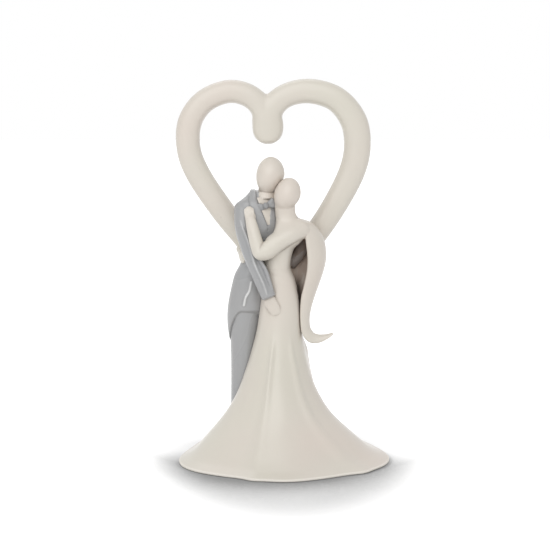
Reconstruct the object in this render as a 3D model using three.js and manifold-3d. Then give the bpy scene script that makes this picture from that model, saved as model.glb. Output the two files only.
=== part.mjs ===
// A glazed porcelain wedding couple: groom and bride embrace in front of an open heart.
// The figure is luted together from separately moulded pieces, each of them one mesh here.
// Millimetres, +Z up, seen from -Y. The foot stands on z = 0.
import * as THREE from "three";
import { mergeVertices } from "three/addons/utils/BufferGeometryUtils.js";
import Module from "manifold-3d";

const wasm = await Module();
wasm.setup();

const seam = 0.3; // gap left in every luted joint
const degrees = Math.PI / 180;

// Stations of upright bodies run upwards, each as
// [height, middle x, middle y, half width, half depth].
const skirt = {
  stations: [
    [0, 0, 0, 47.2, 47.2],
    [3, -0.6, 0, 41.6, 41.4],
    [8, -1.4, 0, 36.4, 36.2],
    [20.5, -2.7, -0.2, 25.8, 25.4],
    [29, -2.9, -0.4, 20.8, 20.2],
    [39, -3, -0.8, 17, 16.2],
    [61.5, -2.3, -1.6, 11.7, 10.8],
    [79.5, -1.6, -2.2, 9.6, 8.2],
    [89, -1.9, -2.3, 7.9, 6.9],
    [97, -3.1, -2.4, 6.6, 6.1],
  ],
  wall: 3,
  hemLip: 1.1, // upright edge of the hem
  hollowTop: 78, // the casting is hollow up to here
  kneeTop: 66, // the folds begin to show below here
  kneeFoot: 52, // and stand out fully at the knee
  folds: [
    // [direction at the hem, direction at the knee, reach at the hem, reach at the knee, half width],
    // directions and half widths in degrees
    [-156, -165, 7.8, 0.3, 26],
    [-108, -104, 0.9, 0.9, 8],
    [-90, -88, 1.9, 0.3, 17],
    [-40, -60, 0.8, 1.0, 9],
    [-17, -14, 7.4, 0.3, 26],
    [42, 24, 1.0, 2.6, 15],
    [86, 84, 4.2, 0.3, 19],
    [134, 138, 3.6, 0.3, 19],
  ],
};

const bodice = {
  turn: -20,
  stations: [
    [97, -3.1, -2.4, 6.6, 6.1],
    [101, -3.0, -2.4, 6.7, 5.9],
    [105.5, -1.9, -2.3, 6.6, 6.2],
    [107.8, -1.0, -2.4, 7.0, 6.6],
    [110, 0.5, -2.4, 8.0, 7.0],
    [114, 2.7, -2.1, 8.5, 7.1],
    [118, 3.9, -1.8, 8.4, 6.6],
    [120.4, 3.6, -1.8, 7.9, 5.5],
    [121.9, 2.8, -1.8, 5.6, 4.4],
  ],
};

const jacket = {
  turn: 24,
  frontHem: 75.5,
  tailHem: 58.5,
  hemFront: -86, // direction that the open front of the hem faces
  hemLevel: 22, // the front hem runs level for this many degrees either side
  hemDrop: 96, // and has dropped to the tail by here
  stations: [
    [56, -17.1, 6.4, 9.6, 8.4],
    [66, -16.9, 6.4, 11.6, 9.2],
    [76, -16.7, 6.2, 11.7, 9.2],
    [88, -15.5, 5.8, 10.6, 8.4],
    [93.5, -14.6, 5.5, 9.8, 7.8],
    [98, -13.0, 5.3, 8.9, 7.3],
    [103, -12.1, 5.2, 9.1, 7.5],
    [110, -10.9, 5.1, 11.2, 7.9],
    [118, -10.1, 5.0, 13.4, 8.2],
    [125, -10.2, 5.0, 13.4, 7.6],
    [129.5, -11.0, 5.0, 11.9, 6.6],
    [132.2, -11.4, 5.1, 7.8, 5.3],
    [134.6, -11.6, 5.1, 5.2, 4.4],
  ],
};

// Limb stations run from the root to the tip, each as
// [x, y, z, half width across the view, half thickness].
const groomHead = {
  middle: [-6.5, 2.4, 142.9],
  half: [7.0, 7.6, 9.1],
  chin: 0.1, // share by which the egg narrows at the chin
  jaw: -1.1, // how far the chin is carried to the left
  lean: 4, // degrees to the right
  neck: [
    [-10.0, 4.4, 128.5, 3.8, 3.9],
    [-8.7, 4.0, 133, 4.1, 3.7],
    [-7.8, 3.4, 138, 4.4, 4.2],
  ],
};

const brideHead = {
  middle: [1.9, -3.2, 133.9],
  half: [6.4, 6.9, 8.5],
  chin: 0.1,
  jaw: -0.8,
  lean: 14,
  neck: [
    [2.4, -2.0, 118.4, 6.0, 4.6],
    [1.0, -2.3, 123.6, 5.0, 4.2],
    [0.6, -2.8, 129, 5.0, 4.4],
  ],
};

const nearTrouser = {
  stations: [
    [-18.8, 5.4, 79, 8.4, 8.0],
    [-19.3, 5.4, 69, 8.2, 7.6],
    [-19.7, 5.4, 58, 7.0, 7.0],
    [-19.8, 5.8, 44, 6.7, 6.6],
    [-20.0, 6.2, 30, 6.6, 6.4],
    [-20.2, 6.6, 16, 6.6, 6.4],
  ],
};

const farTrouser = {
  stations: [
    [-13.0, 8.6, 79, 6.4, 6.0],
    [-12.4, 9.0, 69, 6.4, 6.2],
    [-11.4, 9.8, 58, 6.3, 6.2],
    [-10.2, 11.0, 44, 6.1, 6.1],
    [-9.2, 12.2, 30, 6.1, 6.1],
    [-8.6, 13.0, 18, 6.1, 6.1],
  ],
};

const nearSleeve = {
  stations: [
    [-19.8, 2.6, 125.4, 4.9, 5.4],
    [-19.6, -0.8, 117, 4.5, 4.8],
    [-16.3, -4.9, 105.4, 4.1, 4.2],
    [-11.8, -8.5, 94, 3.7, 3.6],
    [-7.3, -10.9, 83.9, 3.6, 3.3],
  ],
};

const farSleeve = {
  stations: [
    [-3.2, 8.6, 124.2, 4.4, 4.2],
    [4.0, 9.0, 118.6, 4.0, 3.6],
    [9.8, 7.0, 111.6, 3.5, 3.2],
    [8.8, 5.2, 104.6, 3.3, 2.9],
    [3.2, 5.2, 97.6, 3.1, 2.7],
  ],
};

const nearArm = {
  stations: [
    [8.6, -4.2, 116.4, 4.6, 4.5],
    [3.8, -7.9, 114.6, 4.3, 4.0],
    [-3.2, -10.1, 110.9, 4.5, 3.7],
    [-8.5, -11.0, 106.8, 4.3, 3.4],
    [-11.5, -10.7, 105.8, 3.5, 3.2],
    [-13.1, -9.6, 109.6, 3.4, 3.1],
    [-15.1, -8.3, 117.0, 3.0, 2.7],
    [-16.5, -7.3, 122.6, 2.7, 1.7],
  ],
};

const farArm = {
  stations: [
    [-0.4, 4.6, 116.6, 3.4, 3.4],
    [-4.6, 12.8, 112.6, 3.1, 2.8],
    [-11.4, 14.4, 108.4, 2.8, 2.4],
    [-18.4, 12.0, 106.2, 2.6, 2.3],
    [-21.6, 7.2, 104.9, 2.3, 2.1],
  ],
};

// A hand: wrist, where the fingers point, and where the palm faces.
const hand = {
  length: 7.6,
  width: 4.4,
  thickness: 2.1,
  fingers: 4,
  reach: [0.78, 1, 0.97, 0.76], // how far each finger reaches
  palmShare: 0.52,
  thumbReach: 0.95, // how far out the thumb lies, in half widths of the hand
};
const groomNearHand = {
  wrist: [-7.6, -10.4, 84.2],
  toward: [-3.5, -10.1, 75.2],
  palm: [0.15, 1, 0],
  size: 1.3,
};
const groomFarHand = {
  wrist: [2.6, 5.2, 96.8],
  toward: [-2.4, 5.6, 89.4],
  palm: [0.2, -1, 0],
  size: 1.05,
};
const brideNearHand = {
  wrist: [-16.3, -7.2, 119.8],
  toward: [-17.2, -5.0, 127.3],
  palm: [-0.1, 1, 0.2],
  size: 1.1,
};
const brideFarHand = {
  wrist: [-21.8, 6.4, 104.6],
  toward: [-19.8, -1.3, 99.6],
  palm: [0.9, 0.45, 0],
  size: 1.1,
};

const lapel = { thickness: 0.6 };
// Outlines of the flat dress details, seen from the front as [x, z].
const shirtFront = { thickness: 0.5, outline: [[-13.4, 132.2], [-4.6, 132.2], [-6.6, 118.6], [-8.0, 118.6]] };
const nearLapel = {
  outline: [[-16.6, 136], [-14.0, 136], [-13.7, 131.5], [-12.4, 128.6], [-10.5, 124.8], [-8.2, 119.2],
    [-7.9, 112], [-8.5, 109.6], [-9.8, 110], [-11.6, 113.5], [-13.4, 119], [-14.4, 124], [-16.2, 127],
    [-17.0, 131.4]],
};
const farLapel = {
  outline: [[-5.2, 132.5], [-6.6, 127], [-7.0, 119.4], [-7.6, 118.4], [-7.4, 110.5], [-5.2, 113],
    [-2.4, 120], [-0.8, 127], [-1.2, 132.5]],
};

const collar = { height: 3.2, thickness: 1.0, flare: 0.5, taper: 0.3, drop: 1.8, tilt: -5 };
const bowTie = { middle: [-8.8, -3.2, 128.4], reach: 4.1, half: [2.7, 1.3], knot: 1.5, slope: 0.35 };

// The shawl hangs as a channel. Its stations run downwards, each as
// [middle x, middle y, height or z, half width, half depth, first and last angle, thickness].
const shawl = {
  stations: [
    [4.4, -0.6, 121.0, 6.4, 5.6, -30, 150, 2.2],
    [5.4, 0.2, 118.6, 9.7, 7.8, -54, 156, 2.3],
    [8.0, 1.0, 112.5, 11.7, 9.2, -70, 156, 2.3],
    [10.8, 1.6, 104.0, 10.7, 9.2, -80, 154, 2.3],
    [10.8, 1.4, 97.0, 9.9, 8.6, -80, 154, 2.3],
    [9.6, 0.6, 90.0, 8.9, 7.6, -79, 146, 2.3],
    [8.2, -0.4, 83.0, 7.8, 6.4, -79, 136, 2.3],
    [8.0, -1.6, 76.5, 6.0, 5.2, -80, 122, 2.2],
    [8.4, -2.4, 70.4, 4.8, 4.3, -83, 100, 2.1],
    [9.4, -2.7, 64.8, 4.7, 4.2, -87, 78, 2.0],
    [12.6, -3.0, 60.6, 4.5, 3.9, -90, 60, 1.8],
    [17.2, -3.0, 59.8, 3.8, 3.2, -90, 52, 1.6],
    [21.8, -3.0, 61.4, 2.3, 2.4, -90, 50, 1.3],
    [25.2, -3.0, 63.6, 0.9, 1.3, -90, 50, 0.9],
  ],
};

// The heart stands upright behind the couple. Its stations hold [x, z, half width].
const heart = {
  plane: 17, // distance of its middle behind the origin
  halfDepth: 5.6,
  left: [
    [-9.6, 167.5, 5.2],
    [-10.4, 173.4, 5.8],
    [-13.5, 178.3, 6.0],
    [-19.2, 182.0, 6.0],
    [-27.6, 183.3, 6.0],
    [-39.9, 178.2, 6.1],
    [-47.0, 168.0, 6.3],
    [-47.7, 154.4, 6.3],
    [-43.8, 143.2, 6.4],
    [-30.9, 123.3, 6.3],
    [-17.0, 105.6, 6.1],
    [-7.0, 90.0, 5.8],
    [-4.2, 83.2, 5.5],
  ],
  right: [
    [-7.8, 164.6, 8.1],
    [-7.8, 171.4, 7.8],
    [-4.8, 176.5, 6.5],
    [1.6, 181.4, 6.2],
    [12.8, 183.5, 6.4],
    [26.4, 179.4, 6.6],
    [35.2, 168.6, 7.0],
    [37.2, 156.0, 7.0],
    [34.9, 144.0, 6.9],
    [24.6, 123.6, 6.5],
    [12.2, 105.6, 6.2],
    [1.8, 92.0, 5.9],
    [-1.4, 85.4, 5.4],
  ],
};

// Cubic interpolation through rows of numbers, looked up by the first one.
function along(rows, key) {
  const last = rows.length - 1;
  const inside = THREE.MathUtils.clamp(key, rows[0][0], rows[last][0]);
  let i = 0;
  while (i < last - 1 && inside > rows[i + 1][0]) i += 1;
  const span = rows[i + 1][0] - rows[i][0];
  const t = (inside - rows[i][0]) / span;
  const before = rows[Math.max(i - 1, 0)];
  const after = rows[Math.min(i + 2, last)];
  return rows[i].map((from, column) => {
    const to = rows[i + 1][column];
    const slopeIn = ((to - before[column]) / (rows[i + 1][0] - before[0])) * span;
    const slopeOut = ((after[column] - from) / (after[0] - rows[i][0])) * span;
    const a = 2 * from - 2 * to + slopeIn + slopeOut;
    const b = -3 * from + 3 * to - 2 * slopeIn - slopeOut;
    return ((a * t + b) * t + slopeIn) * t + from;
  });
}

const smoothstep = THREE.MathUtils.smoothstep;

// Smallest angle between two directions, in degrees.
function apart(a, b) {
  return Math.abs(((((a - b) % 360) + 540) % 360) - 180);
}

// A closed skin over rings of points, with a fan over the first and the last ring.
function loft(rings) {
  const sides = rings[0].length;
  const points = rings.flat();
  const faces = [];
  for (let r = 0; r < rings.length - 1; r += 1) {
    for (let s = 0; s < sides; s += 1) {
      const a = r * sides + s;
      const b = r * sides + ((s + 1) % sides);
      faces.push(a, b, a + sides, b, b + sides, a + sides);
    }
  }
  [0, rings.length - 1].forEach((end) => {
    const middle = new THREE.Vector3();
    rings[end].forEach((p) => middle.addScaledVector(p, 1 / sides));
    const hub = points.push(middle) - 1;
    for (let s = 0; s < sides; s += 1) {
      const a = end * sides + s;
      const b = end * sides + ((s + 1) % sides);
      faces.push(...(end === 0 ? [b, a, hub] : [a, b, hub]));
    }
  });
  const geometry = new THREE.BufferGeometry().setFromPoints(points);
  geometry.setIndex(faces);
  return geometry;
}

// A three.js geometry as a solid whose faces point outwards.
function solid(geometry) {
  const bare = geometry.clone();
  bare.deleteAttribute("normal");
  bare.deleteAttribute("uv");
  const merged = mergeVertices(bare, 1e-4);
  const build = (triVerts) =>
    new wasm.Manifold(
      new wasm.Mesh({ numProp: 3, vertProperties: merged.attributes.position.array, triVerts }),
    );
  const made = build(new Uint32Array(merged.index.array));
  if (made.volume() > 0) return made;
  return build(new Uint32Array(merged.index.array).reverse());
}

function union(parts) {
  return parts.reduce((all, part) => all.add(part));
}

// An upright body: elliptic sections stacked from a hem, which may rise and fall, to the top.
function uprightBody({ stations, turn = 0, hem }, { sides, rings }, grow = 0) {
  const top = stations[stations.length - 1][0] + grow;
  const turned = turn * degrees;
  const levels = [];
  for (let r = 0; r <= rings; r += 1) {
    const ring = [];
    for (let s = 0; s < sides; s += 1) {
      const angle = (s / sides) * 2 * Math.PI;
      const foot = (hem ? hem(angle / degrees + turn) : stations[0][0]) - grow;
      const z = foot + ((top - foot) * r) / rings;
      const [, x, y, halfWidth, halfDepth] = along(stations, z);
      const u = (halfWidth + grow) * Math.cos(angle);
      const v = (halfDepth + grow) * Math.sin(angle);
      ring.push(new THREE.Vector3(
        x + u * Math.cos(turned) - v * Math.sin(turned),
        y + u * Math.sin(turned) + v * Math.cos(turned),
        z,
      ));
    }
    levels.push(ring);
  }
  return solid(loft(levels));
}

// A limb: elliptic sections along a smooth path, with rounded ends.
function limb(stations, detail, grow = 0) {
  const { sides, rings, facing = [0, -1, 0], square = 2 } = detail;
  const { roundRoot = 1, roundTip = 1, bends = [66, 32] } = detail;
  const path = new THREE.CatmullRomCurve3(stations.map(([x, y, z]) => new THREE.Vector3(x, y, z)));
  const sizes = stations.map(([, , , across, deep], i) => [i, across, deep ?? across]);
  const front = new THREE.Vector3(...facing);
  const loops = [];
  const addLoop = (t, beyond, share) => {
    const tangent = path.getTangent(t).normalize();
    const [, across, deep] = along(sizes, t * (stations.length - 1));
    const side = new THREE.Vector3().crossVectors(tangent, front).normalize();
    const out = new THREE.Vector3().crossVectors(side, tangent).normalize();
    const middle = path.getPoint(t).addScaledVector(tangent, beyond * (Math.min(across, deep) + grow));
    const ring = [];
    for (let s = 0; s < sides; s += 1) {
      const angle = (s / sides) * 2 * Math.PI;
      const c = Math.cos(angle);
      const d = Math.sin(angle);
      const u = Math.sign(c) * Math.abs(c) ** (2 / square) * (across + grow) * share;
      const v = Math.sign(d) * Math.abs(d) ** (2 / square) * (deep + grow) * share;
      ring.push(middle.clone().addScaledVector(side, u).addScaledVector(out, v));
    }
    loops.push(ring);
  };
  bends.forEach((bend) => addLoop(0, -roundRoot * Math.sin(bend * degrees), Math.cos(bend * degrees)));
  for (let r = 0; r <= rings; r += 1) addLoop(r / rings, 0, 1);
  [...bends].reverse().forEach((bend) =>
    addLoop(1, roundTip * Math.sin(bend * degrees), Math.cos(bend * degrees)));
  return solid(loft(loops));
}

// An egg that narrows at the chin and leans over, with its neck.
function headShape(head, { sides, rings }, grow = 0) {
  const ball = new THREE.SphereGeometry(1, sides, rings).rotateX(Math.PI / 2);
  const at = ball.attributes.position;
  const point = new THREE.Vector3();
  const half = head.half.map((h) => h + grow);
  for (let i = 0; i < at.count; i += 1) {
    point.fromBufferAttribute(at, i);
    const low = smoothstep(-point.z, -0.2, 1);
    const narrow = 1 - head.chin * low;
    at.setXYZ(i, point.x * half[0] * narrow + head.jaw * low, point.y * half[1] * narrow, point.z * half[2]);
  }
  ball.rotateY(head.lean * degrees).translate(...head.middle);
  const neck = limb(head.neck, { sides: 12, rings: 3, roundRoot: 0.2, bends: [48] }, grow);
  return union([solid(ball), neck]);
}

// A small relaxed hand: a palm, fingers lying close together and a thumb.
function handShape(place, grow = 0) {
  const wrist = new THREE.Vector3(...place.wrist);
  const toward = new THREE.Vector3(...place.toward).sub(wrist).normalize();
  const palmward = new THREE.Vector3(...place.palm).normalize();
  const across = new THREE.Vector3().crossVectors(toward, palmward).normalize();
  const inward = new THREE.Vector3().crossVectors(across, toward).normalize();
  const length = hand.length * place.size;
  const halfWidth = (hand.width / 2) * place.size;
  const halfThick = (hand.thickness / 2) * place.size;
  const knuckles = length * hand.palmShare;
  const at = (u, v, w) =>
    wrist.clone().addScaledVector(across, u).addScaledVector(inward, v).addScaledVector(toward, w).toArray();
  const facing = inward.toArray();
  const palm = limb([
    [...at(0, 0, -0.18 * length), halfWidth * 0.7, halfThick * 1.1],
    [...at(0, 0, knuckles * 0.55), halfWidth * 0.96, halfThick * 1.05],
    [...at(0, 0, knuckles * 1.05), halfWidth * 0.98, halfThick * 0.9],
  ], { sides: 10, rings: 2, facing, bends: [48] }, grow);
  const pitch = (2 * halfWidth) / hand.fingers;
  const fingers = hand.reach.map((share, i) => {
    const u = -halfWidth + pitch * (i + 0.5);
    const tip = knuckles + (length - knuckles) * share;
    const thick = pitch * 0.6;
    return limb([
      [...at(u * 0.92, 0, knuckles * 0.8), thick, halfThick * 0.8],
      [...at(u, halfThick * 0.1, (knuckles + tip) / 2), thick, halfThick * 0.8],
      [...at(u * 0.96, halfThick * 0.4, tip), thick * 0.9, halfThick * 0.7],
    ], { sides: 6, rings: 1, facing, bends: [48] }, grow);
  });
  const thumb = pitch * 0.62;
  fingers.push(limb([
    [...at(-halfWidth * 0.55, 0, knuckles * 0.2), thumb, thumb],
    [...at(-halfWidth * hand.thumbReach, halfThick * 0.2, knuckles * 0.7), thumb, thumb],
    [...at(-halfWidth * hand.thumbReach, halfThick * 0.5, knuckles * 1.1), thumb * 0.8, thumb * 0.8],
  ], { sides: 6, rings: 2, facing, bends: [48] }, grow));
  return union([palm, ...fingers]);
}

// How far the folds push the skirt out. They open with the flare below the knee.
function foldAt(angle, z) {
  const knee = along(skirt.stations, skirt.kneeFoot)[3];
  const hem = skirt.stations[0][3];
  const flare = Math.max(0, (along(skirt.stations, z)[3] - knee) / (hem - knee));
  const shown = smoothstep(skirt.kneeTop - z, 0, skirt.kneeTop - skirt.kneeFoot);
  return skirt.folds.reduce((sum, [atHem, atKnee, hemReach, kneeReach, halfWidth]) => {
    const direction = atKnee + (atHem - atKnee) * Math.sqrt(flare);
    const off = apart(angle / degrees, direction) / halfWidth;
    const reach = hemReach * flare + kneeReach * shown * (1 - flare);
    return sum + reach * Math.exp(-off * off);
  }, 0);
}

function skirtPoint(angle, z, inwards) {
  const [, x, y, halfWidth, halfDepth] = along(skirt.stations, z);
  const step = 0.5;
  const slope = (along(skirt.stations, z + step)[3] - along(skirt.stations, z)[3]) / step;
  const push = foldAt(angle, z) - inwards * Math.hypot(1, slope);
  return [x + (halfWidth + push) * Math.cos(angle), y + (halfDepth + push) * Math.sin(angle)];
}

// The skirt is one hollow trumpet: down the outside, across the foot and up the inside.
function skirtShape(grow = 0, hollow = true) {
  const sides = 48;
  const top = skirt.stations[skirt.stations.length - 1][0];
  const outside = [1, 0.89, 0.77, 0.65, 0.54, 0.43, 0.335, 0.26, 0.197, 0.145, 0.1, 0.062, 0.031];
  const levels = outside.map((share) => {
    const z = share * top;
    return [share === 1 ? z + grow : z, z - skirt.hemLip, -grow];
  });
  levels.push([skirt.hemLip, 0, -grow], [-grow, 0, -grow]);
  if (hollow) {
    const inside = [0, 0.064, 0.141, 0.256, 0.41, 0.64, 1];
    inside.forEach((share) => levels.push([share * skirt.hollowTop, share * skirt.hollowTop, skirt.wall]));
  }
  const rings = levels.map(([z, profileAt, inwards]) => {
    const ring = [];
    for (let s = 0; s < sides; s += 1) {
      const angle = (s / sides) * 2 * Math.PI;
      const [x, y] = skirtPoint(angle, Math.max(profileAt, 0), inwards);
      ring.push(new THREE.Vector3(x, y, z));
    }
    return ring;
  });
  return solid(loft(rings));
}

function jacketShape(grow = 0) {
  const hem = (direction) => {
    const off = apart(direction, jacket.hemFront);
    const drop = smoothstep(off, jacket.hemLevel, jacket.hemDrop);
    return jacket.frontHem + (jacket.tailHem - jacket.frontHem) * drop;
  };
  return uprightBody({ ...jacket, hem }, { sides: 24, rings: 11 }, grow);
}

// A thin panel that follows the front of the jacket inside an outline.
function frontPanel(outline, thickness, grow = 0) {
  const shape = new THREE.Shape(outline.map(([x, z]) => new THREE.Vector2(x, z)));
  const depth = 2 * jacket.stations[0][4];
  const prism = new THREE.ExtrudeGeometry(shape, { depth, bevelEnabled: false })
    .rotateX(Math.PI / 2)
    .translate(0, jacket.stations[0][2], 0);
  const skin = jacketShape(seam + thickness + grow);
  return solid(prism).intersect(skin).subtract(jacketShape(seam - grow));
}

// The turned-down shirt collar: a flared ring round the neck, open in front.
function collarShape(grow = 0) {
  const neck = groomHead.neck[1];
  const inner = neck[3] + seam - grow;
  const outer = inner + collar.thickness + 2 * grow;
  const ring = new THREE.LatheGeometry([
    new THREE.Vector2(inner + collar.flare, -grow),
    new THREE.Vector2(outer + collar.flare, -grow),
    new THREE.Vector2(outer + collar.flare * 0.4, collar.height * 0.6),
    new THREE.Vector2(outer - collar.taper, collar.height + grow),
    new THREE.Vector2(inner, collar.height + grow),
    new THREE.Vector2(inner + collar.flare, -grow),
  ], 20);
  ring.rotateX(Math.PI / 2);
  ring.rotateX(collar.tilt * degrees);
  ring.translate(neck[0], neck[1], neck[2] - collar.drop);
  return solid(ring);
}

function bowTieShape(grow = 0) {
  const [x, y, z] = bowTie.middle;
  const [tall, deep] = bowTie.half;
  const wing = (side) => {
    const at = (share) => [x + side * bowTie.reach * share, z + side * bowTie.reach * share * bowTie.slope];
    const [[midX, midZ], [endX, endZ]] = [at(0.5), at(1)];
    return limb([
      [x, y, z, 0.7, 0.7],
      [midX, y, midZ, tall * 0.72, deep * 0.8],
      [endX, y + 0.5, endZ, tall, deep * 0.75],
    ], { sides: 8, rings: 2, roundTip: 0.35, bends: [48] }, grow);
  };
  const knot = solid(new THREE.SphereGeometry(bowTie.knot + grow, 8, 6).translate(x, y - 0.5, z));
  return union([wing(-1), wing(1), knot]);
}

// The shawl: a channel section drawn down the bride's back, ending in a curl.
function shawlShape(grow = 0) {
  const { stations } = shawl;
  const numbered = stations.map((row, i) => [i, ...row]);
  const spine = new THREE.CatmullRomCurve3(stations.map(([x, , z]) => new THREE.Vector3(x, 0, z)));
  const count = 18;
  const steps = 6;
  const rings = [];
  for (let r = 0; r <= count; r += 1) {
    const t = r / count;
    const key = t * (stations.length - 1);
    const [, x, y, z, halfWidth, halfDepth, first, last, thickness] = along(numbered, key);
    const tangent = spine.getTangent(t);
    const curl = smoothstep(key, 7.5, 10);
    const across = new THREE.Vector3(-tangent.z, 0, tangent.x);
    const outward = new THREE.Vector3(1, 0, 0).lerp(across, curl).normalize();
    const middle = new THREE.Vector3(x, y, z);
    const ring = [];
    const edge = (a, inset) => {
      const u = (halfWidth - inset) * Math.cos(a * degrees);
      const v = (halfDepth - inset) * Math.sin(a * degrees);
      ring.push(middle.clone().addScaledVector(outward, u).add(new THREE.Vector3(0, v, 0)));
    };
    for (let s = 0; s <= steps; s += 1) edge(first + ((last - first) * s) / steps, -grow);
    const lipOut = (thickness * 0.5) / Math.min(halfWidth, halfDepth) / degrees;
    edge(last + lipOut * 0.7, thickness * 0.5);
    for (let s = steps; s >= 0; s -= 1) edge(first + ((last - first) * s) / steps, thickness + grow);
    edge(first - lipOut * 0.7, thickness * 0.5);
    rings.push(ring);
  }
  return solid(loft(rings));
}

function heartLimb(stations, grow = 0) {
  const rows = stations.map(([x, z, halfWidth]) => [x, heart.plane, z, halfWidth, heart.halfDepth]);
  const roundRoot = stations[0][2] / heart.halfDepth;
  return limb(rows, { sides: 12, rings: 28, square: 2.4, roundRoot }, grow);
}

const arm = { sides: 10, rings: 12 };
const sleeve = { sides: 12, rings: 10, roundTip: 0.25 };
const trouser = { sides: 14, rings: 5, roundTip: 0.2 };

const glaze = {
  cream: { color: 0xe6ddd0, roughness: 0.3, metalness: 0 },
  grey: { color: 0xa4a8ad, roughness: 0.28, metalness: 0 },
};

// Every piece: its shape at a given growth, its glaze, and the pieces that it is fitted against.
const pieces = {
  skirt: { shape: (grow) => skirtShape(grow, grow === 0), glaze: "cream", against: [] },
  bodice: {
    shape: (grow) => uprightBody(
      { ...bodice, hem: () => bodice.stations[0][0] + seam },
      { sides: 22, rings: 10 },
      grow,
    ),
    glaze: "cream",
    against: [],
  },
  groom_head: {
    shape: (grow) => headShape(groomHead, { sides: 18, rings: 12 }, grow),
    glaze: "cream",
    against: [],
  },
  bride_head: {
    shape: (grow) => headShape(brideHead, { sides: 18, rings: 12 }, grow),
    glaze: "cream",
    against: ["bodice", "groom_head"],
  },
  shirt_collar: { shape: collarShape, glaze: "cream", against: ["groom_head", "bride_head"] },
  jacket: {
    shape: jacketShape,
    glaze: "grey",
    against: ["skirt", "bodice", "groom_head", "bride_head", "shirt_collar"],
  },
  near_trouser_leg: {
    shape: (grow) => limb(nearTrouser.stations, trouser, grow),
    glaze: "grey",
    against: ["skirt", "jacket"],
  },
  far_trouser_leg: {
    shape: (grow) => limb(farTrouser.stations, trouser, grow),
    glaze: "grey",
    against: ["skirt", "jacket", "near_trouser_leg"],
  },
  shirt_front: {
    shape: (grow) => frontPanel(shirtFront.outline, shirtFront.thickness, grow),
    glaze: "cream",
    against: ["bodice", "bride_head", "groom_head", "shirt_collar"],
  },
  near_lapel: {
    shape: (grow) => frontPanel(nearLapel.outline, lapel.thickness, grow),
    glaze: "grey",
    against: ["groom_head", "shirt_collar", "shirt_front", "bodice"],
  },
  far_lapel: {
    shape: (grow) => frontPanel(farLapel.outline, lapel.thickness, grow),
    glaze: "grey",
    against: ["groom_head", "shirt_collar", "shirt_front", "bodice", "bride_head", "near_lapel"],
  },
  bow_tie: {
    shape: bowTieShape,
    glaze: "grey",
    against: ["groom_head", "bride_head", "bodice", "shirt_collar", "shirt_front", "jacket", "near_lapel",
      "far_lapel"],
  },
  near_sleeve: {
    shape: (grow) => limb(nearSleeve.stations, sleeve, grow),
    glaze: "grey",
    against: ["skirt", "bodice", "jacket", "near_lapel"],
  },
  groom_near_hand: {
    shape: (grow) => handShape(groomNearHand, grow),
    glaze: "cream",
    against: ["skirt", "bodice", "near_sleeve"],
  },
  bride_near_arm: {
    shape: (grow) => limb(nearArm.stations, arm, grow),
    glaze: "cream",
    against: ["bodice", "skirt", "jacket", "near_sleeve", "near_lapel", "far_lapel", "shirt_front"],
  },
  bride_near_hand: {
    shape: (grow) => handShape(brideNearHand, grow),
    glaze: "cream",
    against: ["bride_near_arm", "jacket", "near_sleeve", "near_lapel"],
  },
  far_sleeve: {
    shape: (grow) => limb(farSleeve.stations, sleeve, grow),
    glaze: "grey",
    against: ["jacket", "bodice", "bride_head", "skirt"],
  },
  groom_far_hand: {
    shape: (grow) => handShape(groomFarHand, grow),
    glaze: "cream",
    against: ["far_sleeve", "bodice", "skirt", "jacket"],
  },
  bride_far_arm: {
    shape: (grow) => limb(farArm.stations, arm, grow),
    glaze: "cream",
    against: ["bodice", "jacket", "far_sleeve", "near_sleeve"],
  },
  bride_far_hand: {
    shape: (grow) => handShape(brideFarHand, grow),
    glaze: "cream",
    against: ["bride_far_arm", "jacket", "near_sleeve"],
  },
  shawl: {
    shape: shawlShape,
    glaze: "cream",
    against: ["skirt", "bodice", "bride_head", "bride_near_arm", "far_sleeve", "groom_far_hand",
      "bride_far_arm", "jacket"],
  },
  heart_left_limb: {
    shape: (grow) => heartLimb(heart.left, grow),
    glaze: "cream",
    against: ["jacket", "near_sleeve", "far_sleeve", "bride_far_arm", "bride_far_hand", "shawl", "skirt",
      "far_trouser_leg", "heart_right_limb"],
  },
  heart_right_limb: {
    shape: (grow) => heartLimb(heart.right, grow),
    glaze: "cream",
    against: ["jacket", "far_sleeve", "bride_far_arm", "shawl", "skirt", "far_trouser_leg", "bodice"],
  },
};

const grown = new Map();
function grownShape(name) {
  if (!grown.has(name)) grown.set(name, pieces[name].shape(seam));
  return grown.get(name);
}

// The piece as fitted: cut back from its neighbours, keeping its one main body.
function fitted(name) {
  const body = pieces[name].against.reduce(
    (left, other) => left.subtract(grownShape(other)),
    pieces[name].shape(0),
  );
  const bodies = body.decompose();
  return bodies.reduce((most, next) => (next.volume() > most.volume() ? next : most));
}

function meshOf(name) {
  const { numProp, vertProperties, triVerts } = fitted(name).getMesh();
  const positions = new Float32Array((vertProperties.length / numProp) * 3);
  for (let i = 0; i < positions.length / 3; i += 1) {
    positions.set(vertProperties.subarray(i * numProp, i * numProp + 3), i * 3);
  }
  const geometry = new THREE.BufferGeometry();
  geometry.setAttribute("position", new THREE.BufferAttribute(positions, 3));
  geometry.setIndex(new THREE.BufferAttribute(triVerts, 1));
  const mesh = new THREE.Mesh(geometry, new THREE.MeshStandardMaterial(glaze[pieces[name].glaze]));
  mesh.name = name;
  return mesh;
}

const figurine = new THREE.Group();
Object.keys(pieces).forEach((name) => figurine.add(meshOf(name)));

// The origin is the middle of the foot, at the height of the table.
const reach = new THREE.Box3().setFromObject(figurine);
const middle = reach.getCenter(new THREE.Vector3());
figurine.position.set(-middle.x, -middle.y, 0);

export default figurine;
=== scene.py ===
import math

import bpy
import numpy as np
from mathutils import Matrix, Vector
from mathutils.bvhtree import BVHTree


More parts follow.
